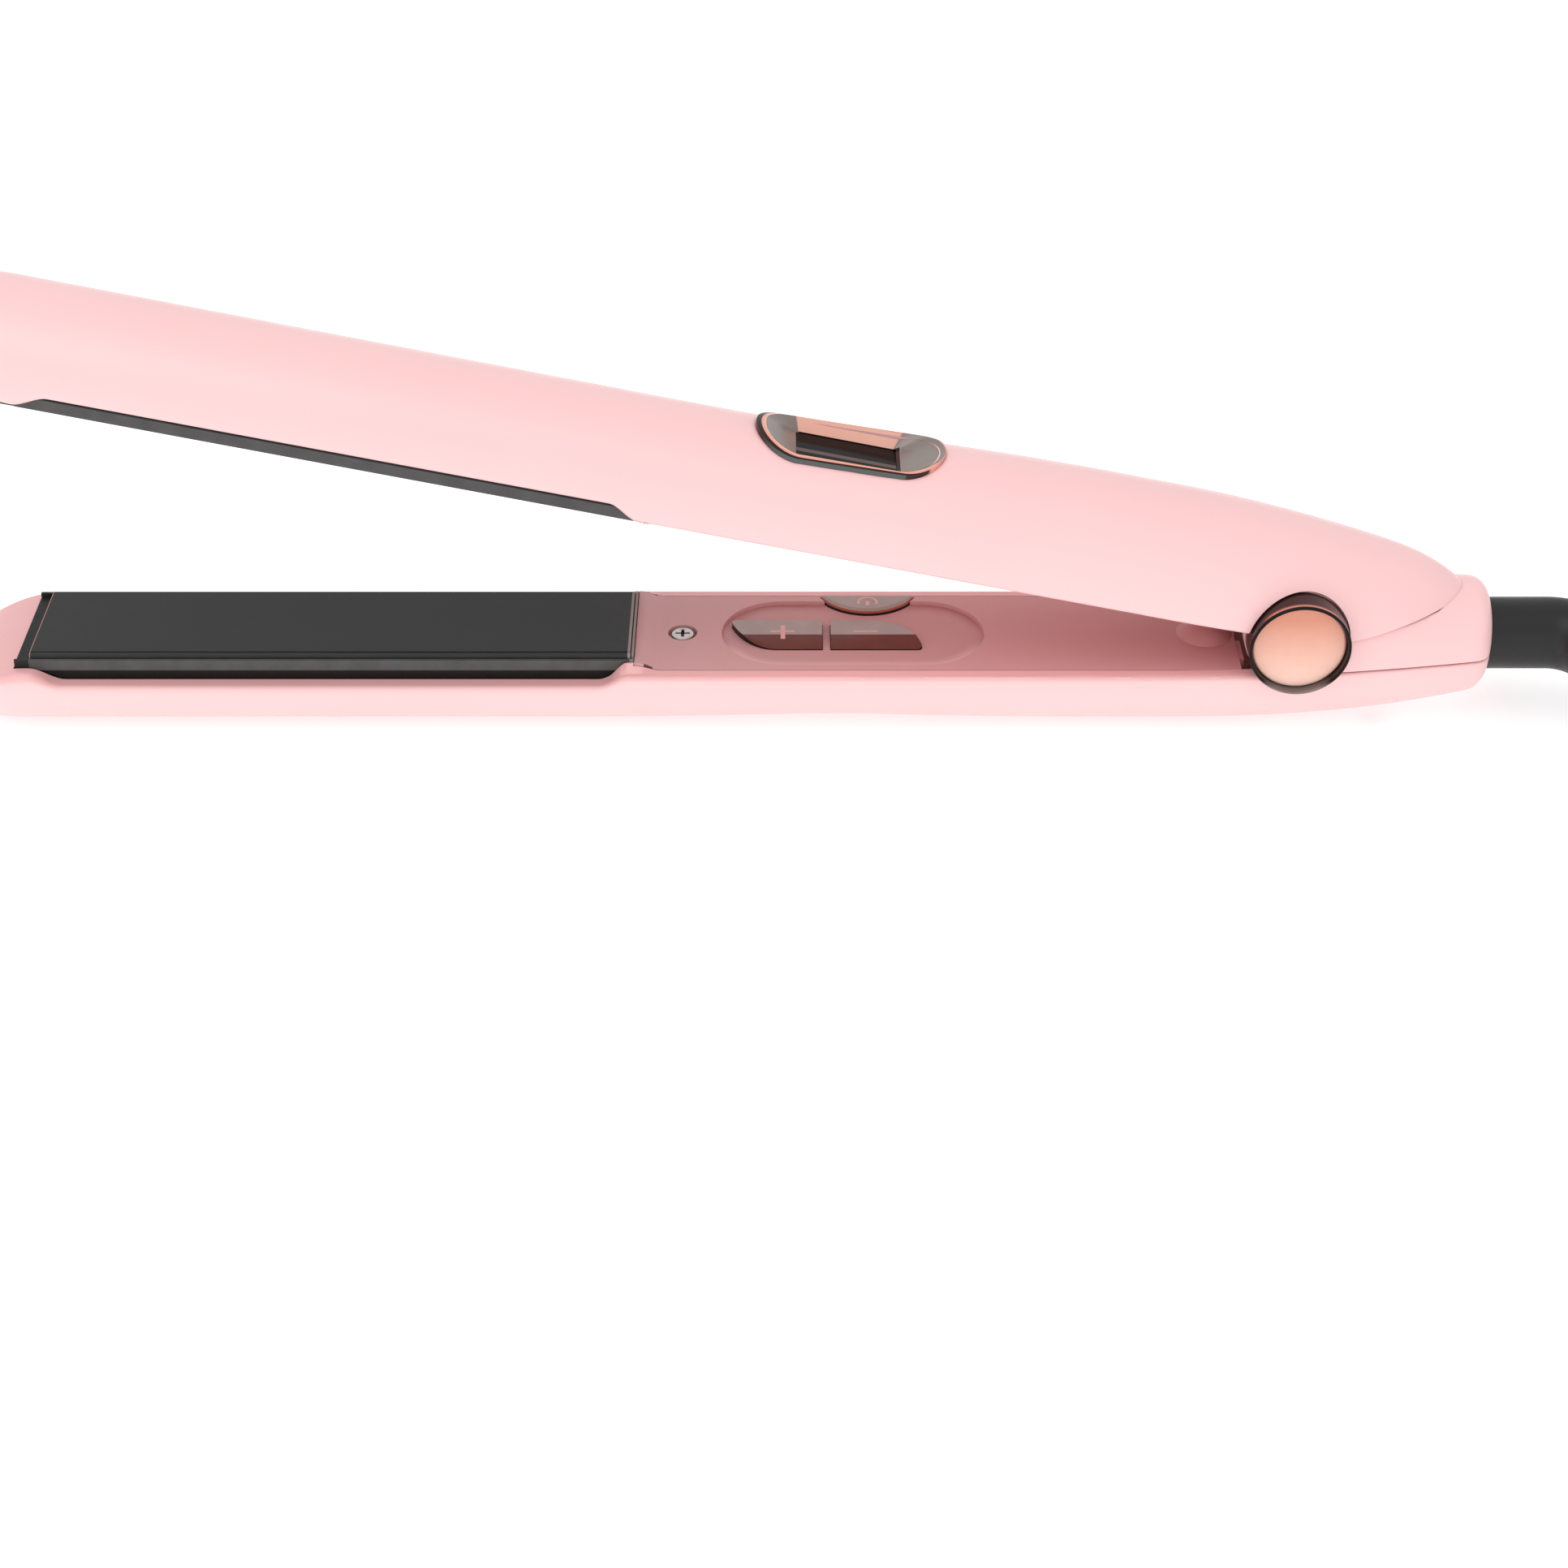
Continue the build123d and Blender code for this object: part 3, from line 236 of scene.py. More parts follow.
def brushed(name, colour, rough, stretch):
    """Metal with a drawn or turned grain along one direction."""
    s = Shader(name, Metallic=1.0)
    grain = s.noise(300, 4, 0.6, stretch)
    s.colour(s.mix(s.rise(grain, *NOISE_MIDDLE), shade(colour, 0.82), colour))
    s.patchy_rough(grain, rough - 0.07, rough + 0.07)
    s.bump(grain, 0.00001, 0.6)
    return s.mat


# ---- shells -------------------------------------------------------------------------------------
SHELL = srgb(255, 206, 206)
# painted shade on the lower shell's rim, on its ledge by the plate and on its underside
SHELL_RIM_SHADE = srgb(240, 178, 178)
SHELL_LEDGE_SHADE = srgb(222, 162, 162)
SHELL_UNDERSIDE_SHADE = srgb(244, 178, 178)
# painted shade for the shells' seams and crevices, where another surface lies close
SHELL_CREVICE_SHADE = srgb(150, 78, 78)
RIM_HEIGHTS = (0.0115, 0.0140)
LEDGE_BEGINS = (-0.125, -0.121)
LEDGE_ENDS = (-0.019, -0.015)


def shell_pink(name, paint_shade=None):
    """Lacquered shell: a faint cloud in its colour and painted shade in its seams and crevices."""
    s = Shader(name, Coat_Weight=0.25, Coat_Roughness=0.3)
    base = s.mix(s.cloud(38, 4), SHELL, shade(SHELL, 0.985))
    if paint_shade:
        base = paint_shade(s, base)
    s.colour(s.crevice_shade(base, SHELL_CREVICE_SHADE))
    s.patchy_rough(s.noise(130, 4, 0.6), 0.31, 0.41)
    s.bump(s.noise(1500, 3, 0.6), 0.000012)
    return s.mat


def lower_shell_painted_shade(s, base):
    """Painted shade on the lower shell: deeper on its rim, on the ledge by the plate and underneath."""
    rim = s.times(s.rise(s.facing(UP), 0.12, 0.9, True), s.rise(s.axis("Z"), *RIM_HEIGHTS))
    base = s.tint(base, rim, SHELL_RIM_SHADE, 0.85)
    beside = s.times(s.rise(s.axis("X"), *LEDGE_BEGINS), s.fall(s.axis("X"), *LEDGE_ENDS))
    base = s.tint(base, s.times(rim, beside), SHELL_LEDGE_SHADE, 0.35)
    return s.mix(s.span(s.facing(DOWN), 0.25, 0.75, 0, 0.3, True), base, SHELL_UNDERSIDE_SHADE)


# ---- inner cover --------------------------------------------------------------------------------
COVER_NEAR = srgb(212, 164, 164)
COVER_FAR = srgb(216, 156, 156)
COVER_FADE = (-0.015, 0.09)
COVER_SEAM = srgb(120, 70, 70)
SEAM_AT = (0.01318, 0.01322)
COVER_NOTCH = srgb(92, 50, 48)
NOTCH_AT = (0.01272, 0.01276)
NOTCH_BEGINS = (-0.0123, -0.01225)
NOTCH_ENDS = (-0.0108, -0.01075)
# painted light in the cover's oval recess: shade on its floor and back slope, a highlight on its near slope,
# lighter walls
RECESS_FLOOR_SHADE = srgb(150, 88, 88)
RECESS_NEAR_HIGHLIGHT = srgb(240, 198, 198)
RECESS_BACK_SHADE = srgb(170, 100, 100)
RECESS_WALL_LIGHT = srgb(232, 178, 178)
RECESS_FROM, RECESS_TO = 0.0017562, 0.0506562
RECESS_HALF_WIDTH = 0.0113
RECESS_EDGE = (RECESS_HALF_WIDTH - 0.0001, RECESS_HALF_WIDTH + 0.0001)
RECESS_SLOPE = (RECESS_HALF_WIDTH - 0.0032, RECESS_HALF_WIDTH - 0.0005)
TOWARDS_NEAR = (-0.0015, -0.0065)
TOWARDS_BACK = (0.001, 0.006)


def cover_pink():
    """Inner cover: deeper towards the hinge, with painted light in its oval recess (soft-edged shade on its
    floor and back slope, a highlight on its near slope, paler walls) and a dark seam.
    """
    s = Shader("cover_pink", Specular_IOR_Level=0.35)
    base = s.mix(s.rise(s.axis("X"), *COVER_FADE, True), COVER_NEAR, COVER_FAR)
    base = s.tint(base, s.cloud(30, 2), COVER_FAR, 0.06)

    middle = (RECESS_FROM + RECESS_TO) / 2
    half_run = (RECESS_TO - RECESS_FROM) / 2 - RECESS_HALF_WIDTH
    from_middle = s.slot_distance(s.along(ALONG, (middle, 0, 0)), s.axis("Y"), half_run)
    inside = s.fall(from_middle, *RECESS_EDGE)
    base = s.tint(base, inside, RECESS_FLOOR_SHADE, 0.16)
    slope = s.times(s.rise(from_middle, *RECESS_SLOPE, True), inside)
    base = s.tint(base, s.times(slope, s.rise(s.axis("Y"), *TOWARDS_NEAR, True)), RECESS_NEAR_HIGHLIGHT, 0.75)
    base = s.tint(base, s.times(slope, s.rise(s.axis("Y"), *TOWARDS_BACK, True)), RECESS_BACK_SHADE, 0.35)
    base = s.mix(s.times(s.fall(s.facing(UP), 0.4, 0.7), inside), base, RECESS_WALL_LIGHT)

    side = s.size(s.axis("Y"))
    base = s.tint(base, s.rise(side, *SEAM_AT), COVER_SEAM, 0.75)
    notch = s.times(s.rise(side, *NOTCH_AT), s.fall(s.axis("X"), *NOTCH_ENDS))
    notch = s.times(notch, s.rise(s.axis("X"), *NOTCH_BEGINS))
    s.colour(s.mix(notch, base, COVER_NOTCH))
    s.patchy_rough(s.noise(60, 2), 0.42, 0.46)
    s.bump(s.noise(1500, 2), 0.000006)
    return s.mat


# ---- plates and their holders -------------------------------------------------------------------
PLATE_END = (-0.0147938, 0, 0)
PALE_STRIP = srgb(150, 138, 134)
PLATE_STREAKS = srgb(44, 44, 44), srgb(52, 52, 52)
PLATE_NOSE = srgb(170, 130, 124)
PLATE_NOSE_AT = (-0.10986, -0.10982)
PLATE_STRIP_AT = (-0.00055, -0.00045)
HOLDER_SATIN = srgb(76, 76, 76), srgb(86, 86, 86)
# painted shadow on the holder's skirt below the band
HOLDER_GAP_SHADOW = srgb(6, 5, 5), srgb(14, 12, 12)
HOLDER_NOSE = srgb(36, 36, 36)
HOLDER_NOSE_AT = (-0.1101, -0.1100)
HOLDER_STRIP_AT = (-0.0002, 0.0)
BAND_EDGE = (0.0, 0.0002)
LOWER_BAND = (0, 0, 0.0148)
UPPER_BAND_RISE = 0.0007
UPPER_BAND = tuple(opened((0, 0, HINGE.z)) + UPPER_DOWN * -UPPER_BAND_RISE)


def plate_coating(name, direction, origin):
    """Ceramic coating with fine streaks, a warm line at the nose end and a pale strip at the handle end.

    direction runs along the plate from origin, its handle end."""
    s = Shader(name, Specular_IOR_Level=0.22)
    streak = s.noise(120, 5, 0.6, (1.0, 14.0, 1.0))
    base = s.mix(s.rise(streak, *NOISE_MIDDLE), *PLATE_STREAKS)
    base = s.mix(s.fall(s.along(direction, origin), *PLATE_NOSE_AT), base, PLATE_NOSE)
    s.colour(s.mix(s.rise(s.along(direction, origin), *PLATE_STRIP_AT), base, PALE_STRIP))
    s.patchy_rough(streak, 0.36, 0.46)
    s.bump(s.noise(2400, 2), 0.000008)
    return s.mat


def holder_black(name, outward, band, direction, origin):
    """Glass-filled plastic: a satin band beside the plate over a nearly black skirt, which is painted shadow.

    The band begins at the point band and goes on outward, out of the arm; direction runs along the plate
    from origin, its handle end."""
    s = Shader(name, Specular_IOR_Level=0.25)
    cloud = s.cloud(260, 4)
    run = s.along(direction, origin)
    satin = s.mix(s.fall(run, *HOLDER_NOSE_AT), s.mix(cloud, *HOLDER_SATIN), HOLDER_NOSE)
    satin = s.mix(s.rise(run, *HOLDER_STRIP_AT), satin, PALE_STRIP)
    s.colour(s.mix(s.rise(s.along(outward, band), *BAND_EDGE), s.mix(cloud, *HOLDER_GAP_SHADOW), satin))
    s.patchy_rough(s.noise(300, 3), 0.4, 0.52)
    s.bump(s.noise(1800, 3), 0.00002)
    return s.mat


# ---- buttons ------------------------------------------------------------------------------------
BUTTON_TOP = srgb(166, 152, 147), srgb(176, 162, 157)
BUTTON_BEVEL = srgb(100, 50, 42), srgb(110, 56, 47)
MOON_BEVEL = srgb(176, 84, 66)
# painted shadow on the buttons' steep walls and below the half-moon's bevel
BUTTON_GAP_SHADOW = srgb(10, 5, 5)
KEY_BEVEL_Y = -0.00122
MOON_TOP_Z = 0.01535
MOON_BEVEL_AT = (MOON_TOP_Z - 0.0003, MOON_TOP_Z - 0.00025)
EDGE_BLUR = 0.00005


def button_skin(name, split):
    """Satin top, a bevel and nearly black walls of painted shadow; split gives the mask of the top and the
    bevel's colour.
    """
    s = Shader(name, Coat_Weight=0.2, Coat_Roughness=0.25, Specular_IOR_Level=0.3)
    cloud = s.cloud(220, 4)
    top, bevel = split(s, cloud)
    steep = s.rise(s.facing(UP), 0.35, 0.5)
    s.colour(s.mix(steep, BUTTON_GAP_SHADOW, s.mix(top, bevel, s.mix(cloud, *BUTTON_TOP))))
    s.patchy_rough(s.noise(300, 3), 0.36, 0.44)
    s.bump(s.noise(1500, 3), 0.000008)
    return s.mat


def front_bevel(s, cloud):
    """The bevel of the plus and minus buttons lies in front of a line along the button."""
    return s.rise(s.axis("Y"), KEY_BEVEL_Y, KEY_BEVEL_Y + EDGE_BLUR), s.mix(cloud, *BUTTON_BEVEL)


def round_bevel(s, _cloud):
    """The bevel of the half-moon button is a thin band all round, just below its top, with painted shadow under
    it.
    """
    bevel = s.mix(s.rise(s.axis("Z"), *MOON_BEVEL_AT), BUTTON_GAP_SHADOW, MOON_BEVEL)
    return s.rise(s.axis("Z"), MOON_TOP_Z, MOON_TOP_Z + EDGE_BLUR), bevel


# ---- hinge disc and ring ------------------------------------------------------------------------
# painted light on the hinge cap: paler towards its lower edge, darker towards its top
ROSE_LOW_LIT = srgb(255, 216, 200)
ROSE_HIGH_SHADED = srgb(218, 146, 122)
ROSE_GRAIN = srgb(200, 130, 110)
RING_DARK = srgb(58, 36, 33), srgb(66, 42, 38)
RING_GLINT = srgb(226, 150, 130)
# painted shade in the ring's black line and a painted reflection on its grey lower lip
RING_SHADE_LINE = srgb(22, 12, 11)
RING_LIP_REFLECTION = srgb(128, 116, 113)
RING_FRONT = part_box("hinge_ring_right")[1][1]
DISC_LIGHT_FADE = (HINGE.z - 0.0085, HINGE.z + 0.0055)
RING_TOP_AT = (HINGE.z + 0.0055, HINGE.z + 0.0075)
RING_GLINT_AT = (RING_FRONT - 0.0014, RING_FRONT - 0.0007)
RING_SHADE_LINE_AT = (RING_FRONT - 0.00055, RING_FRONT - 0.0005)
RING_LIP_REFLECTION_AT = (HINGE.z - 0.0078, HINGE.z - 0.0062)


def rose_gold():
    """Turned cap: fine rings under a satin coat, and painted light that makes it paler towards its lower edge.
    """
    s = Shader("rose_gold", Metallic=0.2)
    turned = s.cloud(420, 3, 0.5, (1.0, 30.0, 1.0))
    base = s.mix(s.rise(s.axis("Z"), *DISC_LIGHT_FADE), ROSE_LOW_LIT, ROSE_HIGH_SHADED)
    s.colour(s.tint(base, turned, ROSE_GRAIN, 0.08))
    s.rough(s.span(turned, 0, 1, 0.34, 0.4))
    s.bump(turned, 0.000004, 0.6)
    return s.mat


def ring_metal():
    """Hinge ring: dark brown plating, a rose glint on top, a black line of painted shade and a grey lower lip
    that is a painted reflection.
    """
    s = Shader("ring_metal", Metallic=0.5, Specular_IOR_Level=0.3)
    smear = s.cloud(160, 4, 0.6)
    out = s.size(s.axis("Y"))
    glint = s.times(s.rise(s.axis("Z"), *RING_TOP_AT), s.rise(out, *RING_GLINT_AT))
    base = s.mix(glint, s.mix(smear, *RING_DARK), RING_GLINT)
    base = s.mix(s.rise(out, *RING_SHADE_LINE_AT), base, RING_SHADE_LINE)
    s.colour(s.mix(s.fall(s.axis("Z"), *RING_LIP_REFLECTION_AT), base, RING_LIP_REFLECTION))
    s.rough(s.span(smear, 0, 1, 0.2, 0.28))
    s.bump(s.noise(700, 2), 0.000004, 0.6)
    return s.mat


# ---- display ------------------------------------------------------------------------------------
BEZEL_SLOPES = srgb(250, 190, 172), srgb(244, 184, 166)
# painted shade on the frame's ends and in its throat; painted light on its outer wall where it faces the front
BEZEL_ENDS_SHADED = srgb(150, 138, 133), srgb(138, 127, 123)
BEZEL_RIM = srgb(240, 170, 150)
BEZEL_WALL = srgb(48, 26, 23)
BEZEL_LOW_WALL_LIT = srgb(92, 98, 98)
BEZEL_THROAT_SHADE = srgb(14, 8, 7)
BEZEL_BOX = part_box("display_bezel")
BEZEL_HALF_LENGTH = 0.0173
BEZEL_HALF_WIDTH = (BEZEL_BOX[1][1] - BEZEL_BOX[0][1]) / 2
RIM_INSET = (0.00075, 0.0007)
WALL_INSET = (0.0004, 0.00036)
LOW_WALL_INSET = (0.00008, 0.00004)
THROAT_HALF_WIDTH = (0.00602, 0.00606)
THROAT_HALF_LENGTH = (0.00927, 0.00931)
WINDOW_BLACK = srgb(8, 6, 7), srgb(14, 11, 12)
WINDOW_STRIP = srgb(104, 84, 84)
STRIP_BEGINS = (-0.0011, -0.0009)
STRIP_ENDS = (0.0001, 0.0003)


def bezel_metal():
    """Display frame: rose gold slopes, ends painted grey-brown as shade, a thin rose rim, a dark outer wall
    painted grey as light where it faces the front, and a throat painted nearly black as shade.
    """
    s = Shader("bezel_metal", Metallic=0.3, Specular_IOR_Level=0.4)
    smear = s.cloud(90, 2, 0.5)
    lengthwise = s.size(s.facing(tuple(UPPER_ALONG)))
    base = s.mix(s.rise(lengthwise, 0.12, 0.2), s.mix(smear, *BEZEL_SLOPES), s.mix(smear, *BEZEL_ENDS_SHADED))

    middle = tuple((a + b) / 2 for a, b in zip(*BEZEL_BOX))
    from_middle = s.slot_distance(
        s.along(tuple(UPPER_ALONG), middle), s.axis("Y"), BEZEL_HALF_LENGTH - BEZEL_HALF_WIDTH,
    )

    def outside(inset):
        return s.rise(from_middle, BEZEL_HALF_WIDTH - inset[0], BEZEL_HALF_WIDTH - inset[1])

    base = s.mix(outside(RIM_INSET), base, BEZEL_RIM)
    base = s.mix(outside(WALL_INSET), base, BEZEL_WALL)
    low_wall = s.times(outside(LOW_WALL_INSET), 0.8)
    base = s.mix(s.times(low_wall, s.rise(s.facing(FRONT), 0.5, 0.8)), base, BEZEL_LOW_WALL_LIT)

    across = s.fall(s.size(s.axis("Y")), *THROAT_HALF_WIDTH)
    length = s.size(s.along(tuple(UPPER_ALONG), middle))
    s.colour(s.mix(s.times(across, s.fall(length, *THROAT_HALF_LENGTH)), base, BEZEL_THROAT_SHADE))
    s.rough(s.span(smear, 0, 1, 0.22, 0.27))
    s.bump(s.noise(700, 2), 0.000003, 0.6)
    return s.mat


def window_black():
    """Smoked display window with the display's own paler strip behind it."""
    s = Shader("lens_black", Specular_IOR_Level=0.12)
    smear = s.cloud(90, 3)
    strip = s.times(s.rise(s.axis("Y"), *STRIP_BEGINS), s.fall(s.axis("Y"), *STRIP_ENDS))
    s.colour(s.mix(strip, s.mix(smear, *WINDOW_BLACK), WINDOW_STRIP))
    s.rough(s.span(smear, 0, 1, 0.05, 0.09))
    s.bump(s.noise(200, 2), 0.000002, 0.5)
    return s.mat


# ---- screw --------------------------------------------------------------------------------------
SCREW_PALE = srgb(226, 222, 220), srgb(206, 202, 200)
# painted shade in the screw's cross recess and down its sides
SCREW_RECESS_SHADE = srgb(84, 66, 64)
SCREW_RECESS_DEPTH = (-0.0003, -0.00012)
SCREW_TOP = (0, 0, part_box("lower_cover_screw")[1][2])


def screw_metal():
    """Plated screw, painted dark as shade from a little below its top down: in its cross recess and on its
    sides.
    """
    s = Shader("screw_zinc_lower", Metallic=0.4)
    turned = s.cloud(500, 3)
    recess = s.fall(s.along(UP, SCREW_TOP), *SCREW_RECESS_DEPTH)
    s.colour(s.mix(recess, s.mix(turned, *SCREW_PALE), SCREW_RECESS_SHADE))
    s.rough(s.span(turned, 0, 1, 0.34, 0.42))
    s.bump(turned, 0.000006, 0.6)
    return s.mat


# ---- which material goes on what: by the record's slot, or by node where a node has its own -----
MATERIALS = {
    "shell_gloss": shell_pink("shell_pink_upper"),
    "cover_gloss": cover_pink(),
    "plate_coating": plate_coating("plate_coating", ALONG, PLATE_END),
    "holder_black": holder_black("holder_black", UP, LOWER_BAND, ALONG, PLATE_END),
    "heater_ceramic": plain("heater_ceramic", srgb(225, 222, 214), 0.7, scale=1800),
    "clip_steel": brushed("clip_steel", srgb(190, 190, 190), 0.35, (1.0, 12.0, 12.0)),
    "silicone": plain("silicone", srgb(150, 70, 55), 0.6, scale=1200),
    "fuse_glass": plain("fuse_glass", srgb(220, 218, 205), 0.3),
    "wire_insulation": plain("wire_insulation", srgb(214, 208, 196), 0.5, scale=1500),
    "screw_zinc": brushed("screw_zinc", srgb(225, 222, 220), 0.36, (9.0, 9.0, 1.0)),
    "board_green": plain("board_green", srgb(22, 84, 48), 0.4, scale=1200),
    "switch_black": plain("switch_black", srgb(36, 36, 36), 0.5),
    "button_brown": button_skin("button_brown", front_bevel),
    "dark_chrome": ring_metal(),
    "rose_gold": rose_gold(),
    "pin_steel": brushed("pin_steel", srgb(200, 200, 204), 0.3, (1.0, 8.0, 8.0)),
    "bush_nylon": plain("bush_nylon", srgb(235, 232, 224), 0.5),
    "cord_rubber": plain("cord_rubber", srgb(38, 37, 37), 0.4, scale=1300, Specular_IOR_Level=0.3),
    "cord_pvc": plain("cord_pvc", srgb(38, 37, 37), 0.38, scale=1100, Specular_IOR_Level=0.35),
    "tie_black": plain("tie_black", srgb(40, 40, 40), 0.6, scale=1500, depth=0.00004),
    "pin_brass": brushed("pin_brass", srgb(226, 206, 150), 0.28, (1.0, 10.0, 10.0)),
    "lens_black": window_black(),
}
UPPER_RUN = (tuple(UPPER_ALONG), tuple(opened(PLATE_END)))
NODE_MATERIALS = {
    "lower_shell": shell_pink("shell_pink", lower_shell_painted_shade),
    "rear_cap": shell_pink("shell_pink_cap"),
    "upper_plate": plate_coating("plate_coating_upper", *UPPER_RUN),
    "upper_plate_holder": holder_black("holder_black_upper", tuple(UPPER_DOWN), UPPER_BAND, *UPPER_RUN),
    "power_button": button_skin("power_brown", round_bevel),
    "display_bezel": bezel_metal(),
    "lower_cover_screw": screw_metal(),
}
ICON_PINK = plain("icon_pink", srgb(232, 176, 170), 0.35, scale=1500, depth=0.000004)
for part in frame["record"]["subparts"]:
    node = part["node"]
    mesh = NODES[node].data
    mesh.materials.clear()
    mesh.materials.append(NODE_MATERIALS.get(node, MATERIALS[part["material_slot"]]))

# ---- smooth shading of the CAD skins, with creases where faces meet at an angle -----------------
ROUNDED = ("lower_shell", "upper_shell", "rear_cap")
WELD_REACH = 0.000004
FLAT_CREASE, ROUND_CREASE = math.radians(20), math.radians(28)
for obj in NODES.values():
    for face in obj.data.polygons:
        face.use_smooth = True
    obj.modifiers.new("weld", "WELD").merge_threshold = WELD_REACH
    creases = obj.modifiers.new("creases", "EDGE_SPLIT")
    creases.split_angle = ROUND_CREASE if obj.name in ROUNDED else FLAT_CREASE
    if obj.name not in ROUNDED:
        obj.modifiers.new("flats", "WEIGHTED_NORMAL").keep_sharp = True

# ---- camera -------------------------------------------------------------------------------------
camera_data = bpy.data.cameras.new("camera")
camera_data.lens = 67.55
camera_data.sensor_width = 36.0
camera = bpy.data.objects.new("camera", camera_data)
camera.location = (0.0133562, -0.46941, 0.30148)
camera.rotation_euler = (math.radians(55.7), 0, 0)
SCENE.collection.objects.link(camera)
SCENE.camera = camera

# ---- cord, in millimetres: out of the sleeve, into the hank, and back over it to the plug -------
CORD = 5.6
ROUTE = [
    (183.1, -39.14, 15.5), (189.9, -51.0, 14.2), (199.9, -60.8, 10.0), (212.5, -65.6, 5.4),
    (226.7, -66.0, 2.8),
]
END_ROUTE = [(224.7, -60.4, 14.0), (241.7, -58.9, 17.0), (259.7, -47.0, 22.4), (276.7, -43.6, 24.0)]
HANK_X, HANK_RUN, HANK_Y = 226.7, 84.0, -43.6
TURNS = [(22.4, 2.8), (16.8, 2.8), (16.8, 8.4), (22.4, 8.4), (22.4, 14.0), (16.8, 14.0)]
RUN_STEPS = 4
FOLD_STEPS = 8


def hank_points():
    """Turn after turn of the folded cord: near run, far fold, back run, near fold.

    TURNS gives each turn's radius and height; its near fold eases over to the next turn's."""
    def fold(x, turn, radius, height):
        return (x + radius * math.cos(turn), HANK_Y + radius * math.sin(turn), height)

    points = []
    for i, (radius, height) in enumerate(TURNS):
        last = i == len(TURNS) - 1
        after = TURNS[i] if last else TURNS[i + 1]
        for j in range(1, RUN_STEPS):
            points.append((HANK_X + HANK_RUN * j / RUN_STEPS, HANK_Y - radius, height))
        for j in range(FOLD_STEPS + 1):
            points.append(fold(HANK_X + HANK_RUN, math.pi * j / FOLD_STEPS - math.pi / 2, radius, height))
        for j in range(RUN_STEPS - 1, 0, -1):
            points.append((HANK_X + HANK_RUN * j / RUN_STEPS, HANK_Y + radius, height))
        for j in range(FOLD_STEPS - 1 if last else FOLD_STEPS + 1):
            t = j / FOLD_STEPS
            ease = t * t * (3 - 2 * t)
            r = radius + (after[0] - radius) * ease
            points.append(fold(HANK_X, math.pi / 2 + math.pi * t, r, height + (after[1] - height) * ease))
    return points


def tube(name, points, diameter, material):
    curve = bpy.data.curves.new(name, "CURVE")
    curve.dimensions = "3D"
    spline = curve.splines.new("NURBS")
    spline.points.add(len(points) - 1)
    for target, point in zip(spline.points, points):
        target.co = (*(c * MM for c in point), 1)
    spline.use_endpoint_u = True
    spline.order_u = 3
    curve.bevel_depth = diameter / 2 * MM
    curve.bevel_resolution = 8
    curve.resolution_u = 10
    curve.use_fill_caps = True
    curve.materials.append(material)
    obj = bpy.data.objects.new(name, curve)
    SCENE.collection.objects.link(obj)
    return obj


cord = tube("mains_cord", ROUTE + hank_points() + END_ROUTE, CORD, MATERIALS["cord_pvc"])
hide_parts("cord_tube", "cord_hank", "cord_end_tube")
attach(cord, "cord")

# ---- symbols on the buttons, in millimetres -----------------------------------------------------
SUNK, RAISED = -0.06, 0.03
CAST_FROM = 50 * MM
PLUS_BAR, PLUS_POST, MINUS_BAR, POWER_ARC, POWER_POST = 0.55, 0.85, 0.5, 0.5, 0.7


def stroke(mesh, button, points, width):
    """A raised bar that follows points over a button's top, with square ends."""
    rings = []
    for i, (x, y) in enumerate(points):
        before, after = points[max(0, i - 1)], points[min(len(points) - 1, i + 1)]
        run = Vector((after[0] - before[0], after[1] - before[1])).normalized() * width / 2
        ring = []
        for side, lift in ((1, SUNK), (1, RAISED), (-1, RAISED), (-1, SUNK)):
            place = Vector(((x - run.y * side) * MM, (y + run.x * side) * MM, CAST_FROM))
            hit = button.ray_cast(place, Vector(DOWN))
            ring.append(mesh.verts.new((place.x, place.y, hit[1].z + lift * MM)))
        rings.append(ring)
    for one, two in zip(rings, rings[1:]):
        for j in range(4):
            mesh.faces.new((one[j], one[(j + 1) % 4], two[(j + 1) % 4], two[j]))
    mesh.faces.new(rings[0])
    mesh.faces.new(reversed(rings[-1]))


def straight(x0, y0, x1, y1, steps=10):
    return [(x0 + (x1 - x0) * i / steps, y0 + (y1 - y0) * i / steps) for i in range(steps + 1)]


def arc(x, y, radius, start, end, steps=28):
    turns = [math.radians(start + (end - start) * i / steps) for i in range(steps + 1)]
    return [(x + radius * math.cos(t), y + radius * math.sin(t)) for t in turns]


def symbol(name, node, body, strokes):
    """One symbol of strokes, each its points and its width, laid on a button's node."""
    mesh = bmesh.new()
    for points, width in strokes:
        stroke(mesh, NODES[node], points, width)
    bmesh.ops.recalc_face_normals(mesh, faces=mesh.faces)
    data = bpy.data.meshes.new(name)
    mesh.to_mesh(data)
    data.materials.append(ICON_PINK)
    obj = bpy.data.objects.new(name, data)
    SCENE.collection.objects.link(obj)
    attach(obj, body)


def button_middle(node):
    low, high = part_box(node)
    return (low[0] + high[0]) / 2 / MM


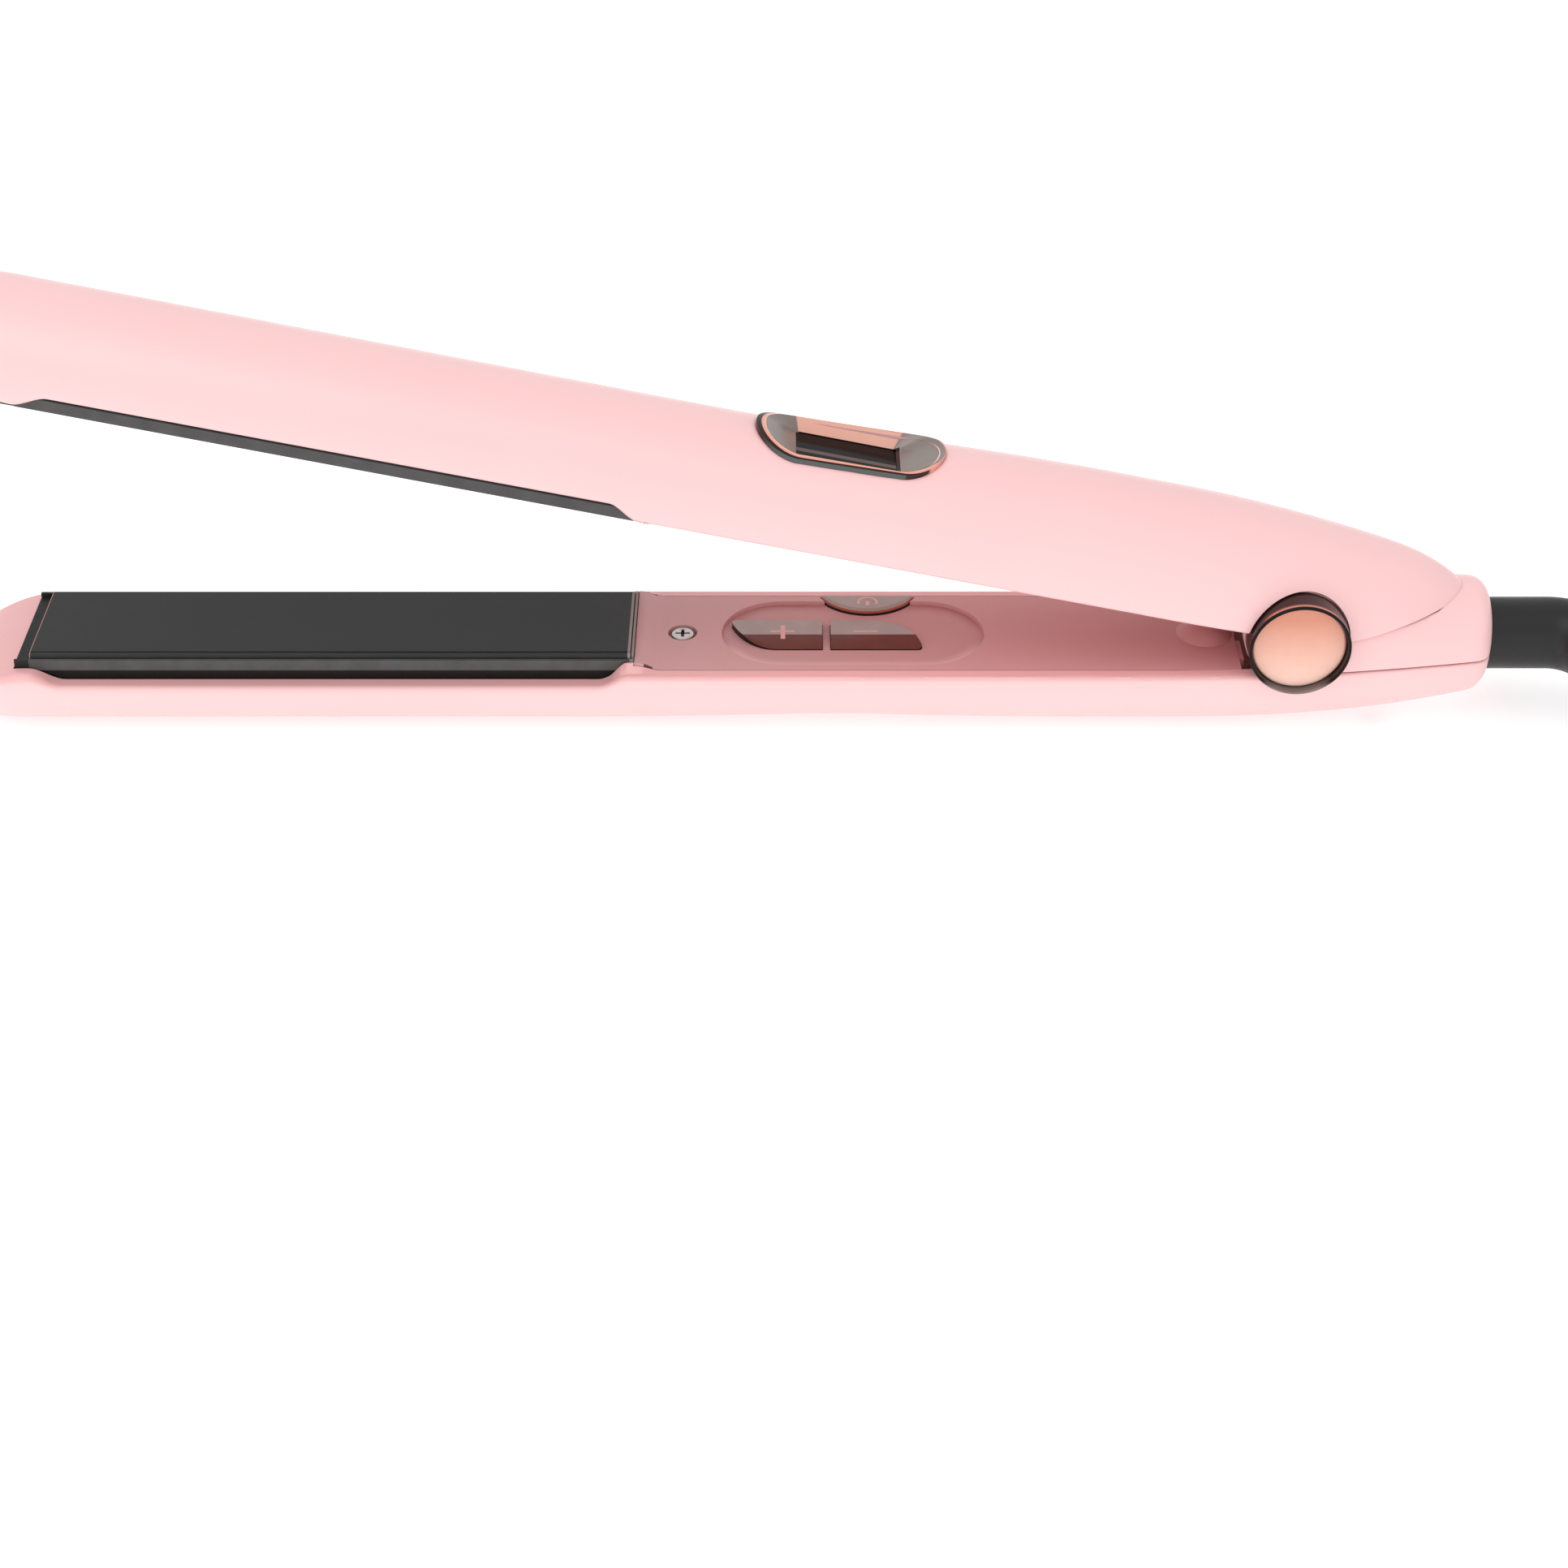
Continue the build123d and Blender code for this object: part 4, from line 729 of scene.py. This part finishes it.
plus_x, minus_x, power_x = (button_middle(n) for n in ("plus_button", "minus_button", "power_button"))
symbol("plus_symbol", "plus_button", "plus_key", [
    (straight(plus_x - 1.1, -0.1, plus_x + 3.3, -0.1), PLUS_BAR),
    (straight(plus_x + 1.1, 2.0, plus_x + 1.1, 0.2), PLUS_POST),
    (straight(plus_x + 1.1, -0.4, plus_x + 1.1, -2.3), PLUS_POST),
])
symbol("minus_symbol", "minus_button", "minus_key", [
    (straight(minus_x - 4.1, -0.1, minus_x + 0.3, -0.1), MINUS_BAR),
])
symbol("power_symbol", "power_button", "power_key", [
    (arc(power_x, 10.5, 1.75, -25, 205), POWER_ARC),
    (straight(power_x, 9.3, power_x, 10.9), POWER_POST),
])

# ---- floor and light ----------------------------------------------------------------------------
FLOOR_GLOW = 0.4
SKY_GLOW = 0.78
bpy.ops.mesh.primitive_plane_add(size=8.0, location=(0.1, 0.6, -0.0002))
floor = bpy.context.object
floor.name = "floor"
floor_shader = grained("floor_white", (0.94, 0.94, 0.94, 1), 0.8, 0.05, 0.995, 60, 0.00001)
floor_shader.bsdf.inputs["Emission Color"].default_value = WHITE
floor_shader.bsdf.inputs["Emission Strength"].default_value = FLOOR_GLOW
floor.data.materials.append(floor_shader.mat)

world = bpy.data.worlds.new("studio")
SCENE.world = world
world.use_nodes = True
sky = world.node_tree.nodes["Background"]
sky.inputs["Color"].default_value = WHITE
sky.inputs["Strength"].default_value = SKY_GLOW


def softbox(name, place, aim, size, power):
    data = bpy.data.lights.new(name, "AREA")
    data.shape = "RECTANGLE"
    data.size, data.size_y = size
    data.energy = power
    lamp = bpy.data.objects.new(name, data)
    lamp.location = place
    lamp.rotation_euler = (Vector(aim) - Vector(place)).to_track_quat("-Z", "Y").to_euler()
    SCENE.collection.objects.link(lamp)


softbox("key", place=(-0.35, -0.35, 1.1), aim=(0, 0, 0.03), size=(1.2, 0.8), power=3.9)
softbox("front", place=(0.2, -1.2, 0.35), aim=(0, 0, 0.03), size=(1.4, 0.5), power=1.0)

SCENE.view_settings.view_transform = "Standard"
SCENE.view_settings.look = "None"
SCENE.view_settings.exposure = 0.0

# ---- update the view layer ----------------------------------------------------------------------
bpy.context.view_layer.update()
